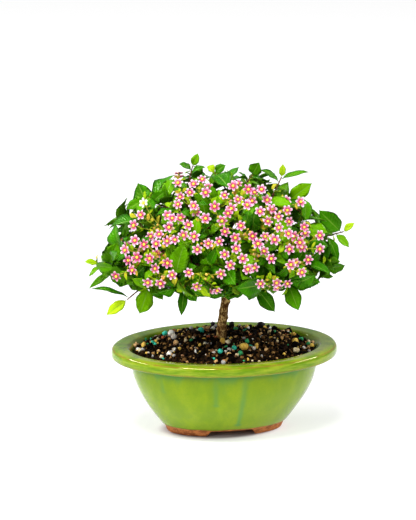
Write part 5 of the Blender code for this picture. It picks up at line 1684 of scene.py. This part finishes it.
def make_umbel(number, umbel, buds, rng, finishes):
    """One umbel: the stalk and its hub, each bloom on a bowed stalk, young leaves and the unopened buds."""
    heap = Heap()
    flush = (0.35 if rng.random() < 0.3 else 0.0, 0, 0)
    heap.rod(eased_line(umbel.peduncle, 9), np.linspace(0.45, 0.55, 9) * MM, 7, 2, flush)
    mood = rng.random()
    outward = umbel_outward(umbel)
    sprouts = []
    steps = np.linspace(0, 1, 7)[:, None]
    for bloom in umbel.blooms:
        stalk = bloom.centre - 1.25 * MM * bloom.facing - umbel.hub
        bow = 0.10 * np.linalg.norm(stalk) * across_of(stalk, UP)
        spine = umbel.hub + steps * stalk - np.sin(math.pi * steps) * bow * 0.6
        heap.rod(spine, np.linspace(0.24, 0.32, 7) * MM, 6, 2, flush)
        tint = rng.uniform(0.0, 0.45) if mood < 0.75 else rng.uniform(0.4, 1.0)
        tint = WHITE_TINT if rng.random() < 0.02 else tint
        fine_petals(heap, bloom, tint, rng)
        fine_heart(heap, bloom, rng)
        for _ in range(YOUNG_PER_BLOOM):
            root = spine[rng.integers(3, 6)]
            aside = across_of(bloom.facing, rng.normal(size=3))
            sprouts.append((root, unit(aside + 0.5 * outward), rng.uniform(3.6, 7.0), rng.uniform(1.5, 2.8)))
    for _ in range(rng.integers(*YOUNG_PER_UMBEL)):
        forward = unit(outward + 0.9 * rng.normal(size=3))
        sprouts.append((umbel.hub, forward, rng.uniform(5, 9), rng.uniform(2.0, 3.4)))
    for root, forward, reach, width in sprouts:
        facing = unit(0.6 * UP + TO_VIEWER + 0.5 * rng.normal(size=3))
        young = leaf_towards(root, root + reach * MM * forward, width * MM, facing, rng.uniform(0, 6.28), 0.6)
        fine_leaf(heap, young, rng.uniform(0.5, 1.3), SPROUT_ROWS, 4)
    for place, size in buds:
        spine = umbel.hub + np.linspace(0, 1, 5)[:, None] * (place - umbel.hub)
        heap.rod(spine, [0.2 * MM] * 5, 5, 2, flush)
        tone = rng.uniform(0, 1)
        looks = [(k / 5, 0, tone) for k in range(6)]
        revolved(heap, place, unit(place - umbel.hub), BUD_SHAPE * (size / MM), 8, 3, looks)
    name = f"umbel_{number:02d}"
    looks = [finishes[kind] for kind in ("petal", "heart", "stalk", "bud", "leaf", "leaf back")]
    heap.piece(f"blooming_{name}", looks, (name,), True)


# The stage: floor, light and camera


CAMERA_DISTANCE = 4.0
FRAME_HEIGHT = 0.722 * 520 * MM
SENSOR_HEIGHT = 24.0
LOOK_AT = np.array((-11.9, 0.0, 125.4)) * MM
WHITE = (1.0, 1.0, 1.0, 1.0)
WORLD_LIGHT = 0.45
FLOOR_HALF = 12.0
FLOOR_GREY, FLOOR_GLOW = 0.52, 0.50
# Strip lights, in metres from the best side: name, across, away, up, length, width, and power in watts
STRIPS = (
    ("left strip", -1.10, 0.25, 1.02, 1.00, 0.09, 13.0),
    ("right strip", 1.10, 0.25, 1.00, 0.90, 0.09, 10.5),
    ("top strip", -0.25, -0.75, 1.45, 0.70, 0.14, 25.0),
)


def aimed(item, place, target):
    item.location = place
    item.rotation_euler = (Vector(target) - Vector(place)).to_track_quat("-Z", "Y").to_euler()


def pale_floor(nodes):
    """A white table with an even glow that stops under the pot, which stays dark: a painted shadow."""
    near = nodes.add("VectorMath", {0: nodes.place((1.0, 1.4, 1.0))}, operation="LENGTH").outputs["Value"]
    # painted shadow: no glow within the pot's footprint and a little round it
    return {"Emission Strength": nodes.eased(near, 37 * MM, 47 * MM, 0.0, FLOOR_GLOW)}


def make_stage():
    """A pale floor, a soft white room, three strip lights, a low front light, and the best side's camera."""
    scene = bpy.context.scene
    world = bpy.data.worlds.new("white room")
    world.use_nodes = True
    background = world.node_tree.nodes["Background"].inputs
    background["Color"].default_value, background["Strength"].default_value = WHITE, WORLD_LIGHT
    scene.world = world
    mesh = bpy.data.meshes.new("floor")
    corners = [(x * FLOOR_HALF, y * FLOOR_HALF, 0) for x, y in ((-1, -1), (1, -1), (1, 1), (-1, 1))]
    mesh.from_pydata(corners, [], [(0, 1, 2, 3)])
    mesh.materials.append(
        finish("pale floor", 0.9, pale_floor, Base_Color=(FLOOR_GREY,) * 3, Emission_Color=WHITE[:3]))
    floor = in_scene("floor", mesh)
    target = in_frame([LOOK_AT])[0]
    across, away = in_frame([(1, 0, 0), (0, 1, 0)]) - in_frame([(0, 0, 0)])
    for name, side, near, high, length, width, power in STRIPS:
        lamp = bpy.data.lights.new(name, "AREA")
        lamp.shape = "RECTANGLE"
        lamp.size, lamp.size_y, lamp.energy = length, width, power
        aimed(in_scene(name, lamp), side * across + near * away + high * UP, target)
    lamp = bpy.data.lights.new("low front light", "SUN")
    lamp.angle, lamp.energy = math.radians(25.0), 0.75
    aimed(in_scene("low front light", lamp), -0.8 * across - 1.0 * away + 0.6 * UP, (0, 0, 0))
    lens = bpy.data.cameras.new("camera")
    lens.sensor_fit = "VERTICAL"
    lens.sensor_height = SENSOR_HEIGHT
    lens.lens = SENSOR_HEIGHT * CAMERA_DISTANCE / FRAME_HEIGHT
    camera = in_scene("camera", lens)
    aimed(camera, target + CAMERA_DISTANCE * (UP * math.sin(SEEN_FROM) - away * math.cos(SEEN_FROM)), target)
    scene.camera = camera
    scene.view_settings.view_transform = "Standard"


def dress():
    """Makes every piece."""
    make_stage()
    finishes = make_finishes()
    make_pot(finishes)
    for name in ("drain_screen_left", "drain_screen_right"):
        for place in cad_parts[name].material_slots:
            place.material = finishes["plastic"]
    make_soil(finishes)
    primaries, sprays, umbels, crowd = grow()
    rng = random.Random(GROWTH_SEED + 9)
    twiglets = grow_twiglets(rng, crowd, sprays)
    fill = grow_fill(rng, crowd, sprays, twiglets)
    make_trunk(primaries, sprays, finishes)
    for number, spray in enumerate(sprays, 1):
        make_spray(number, spray, twiglets[number - 1], fill[number - 1], rng, finishes)
    draw = np.random.default_rng(GROWTH_SEED + 10)
    for number, (umbel, buds) in enumerate(zip(umbels, grow_buds(rng, umbels)), 1):
        make_umbel(number, umbel, buds, draw, finishes)


dress()
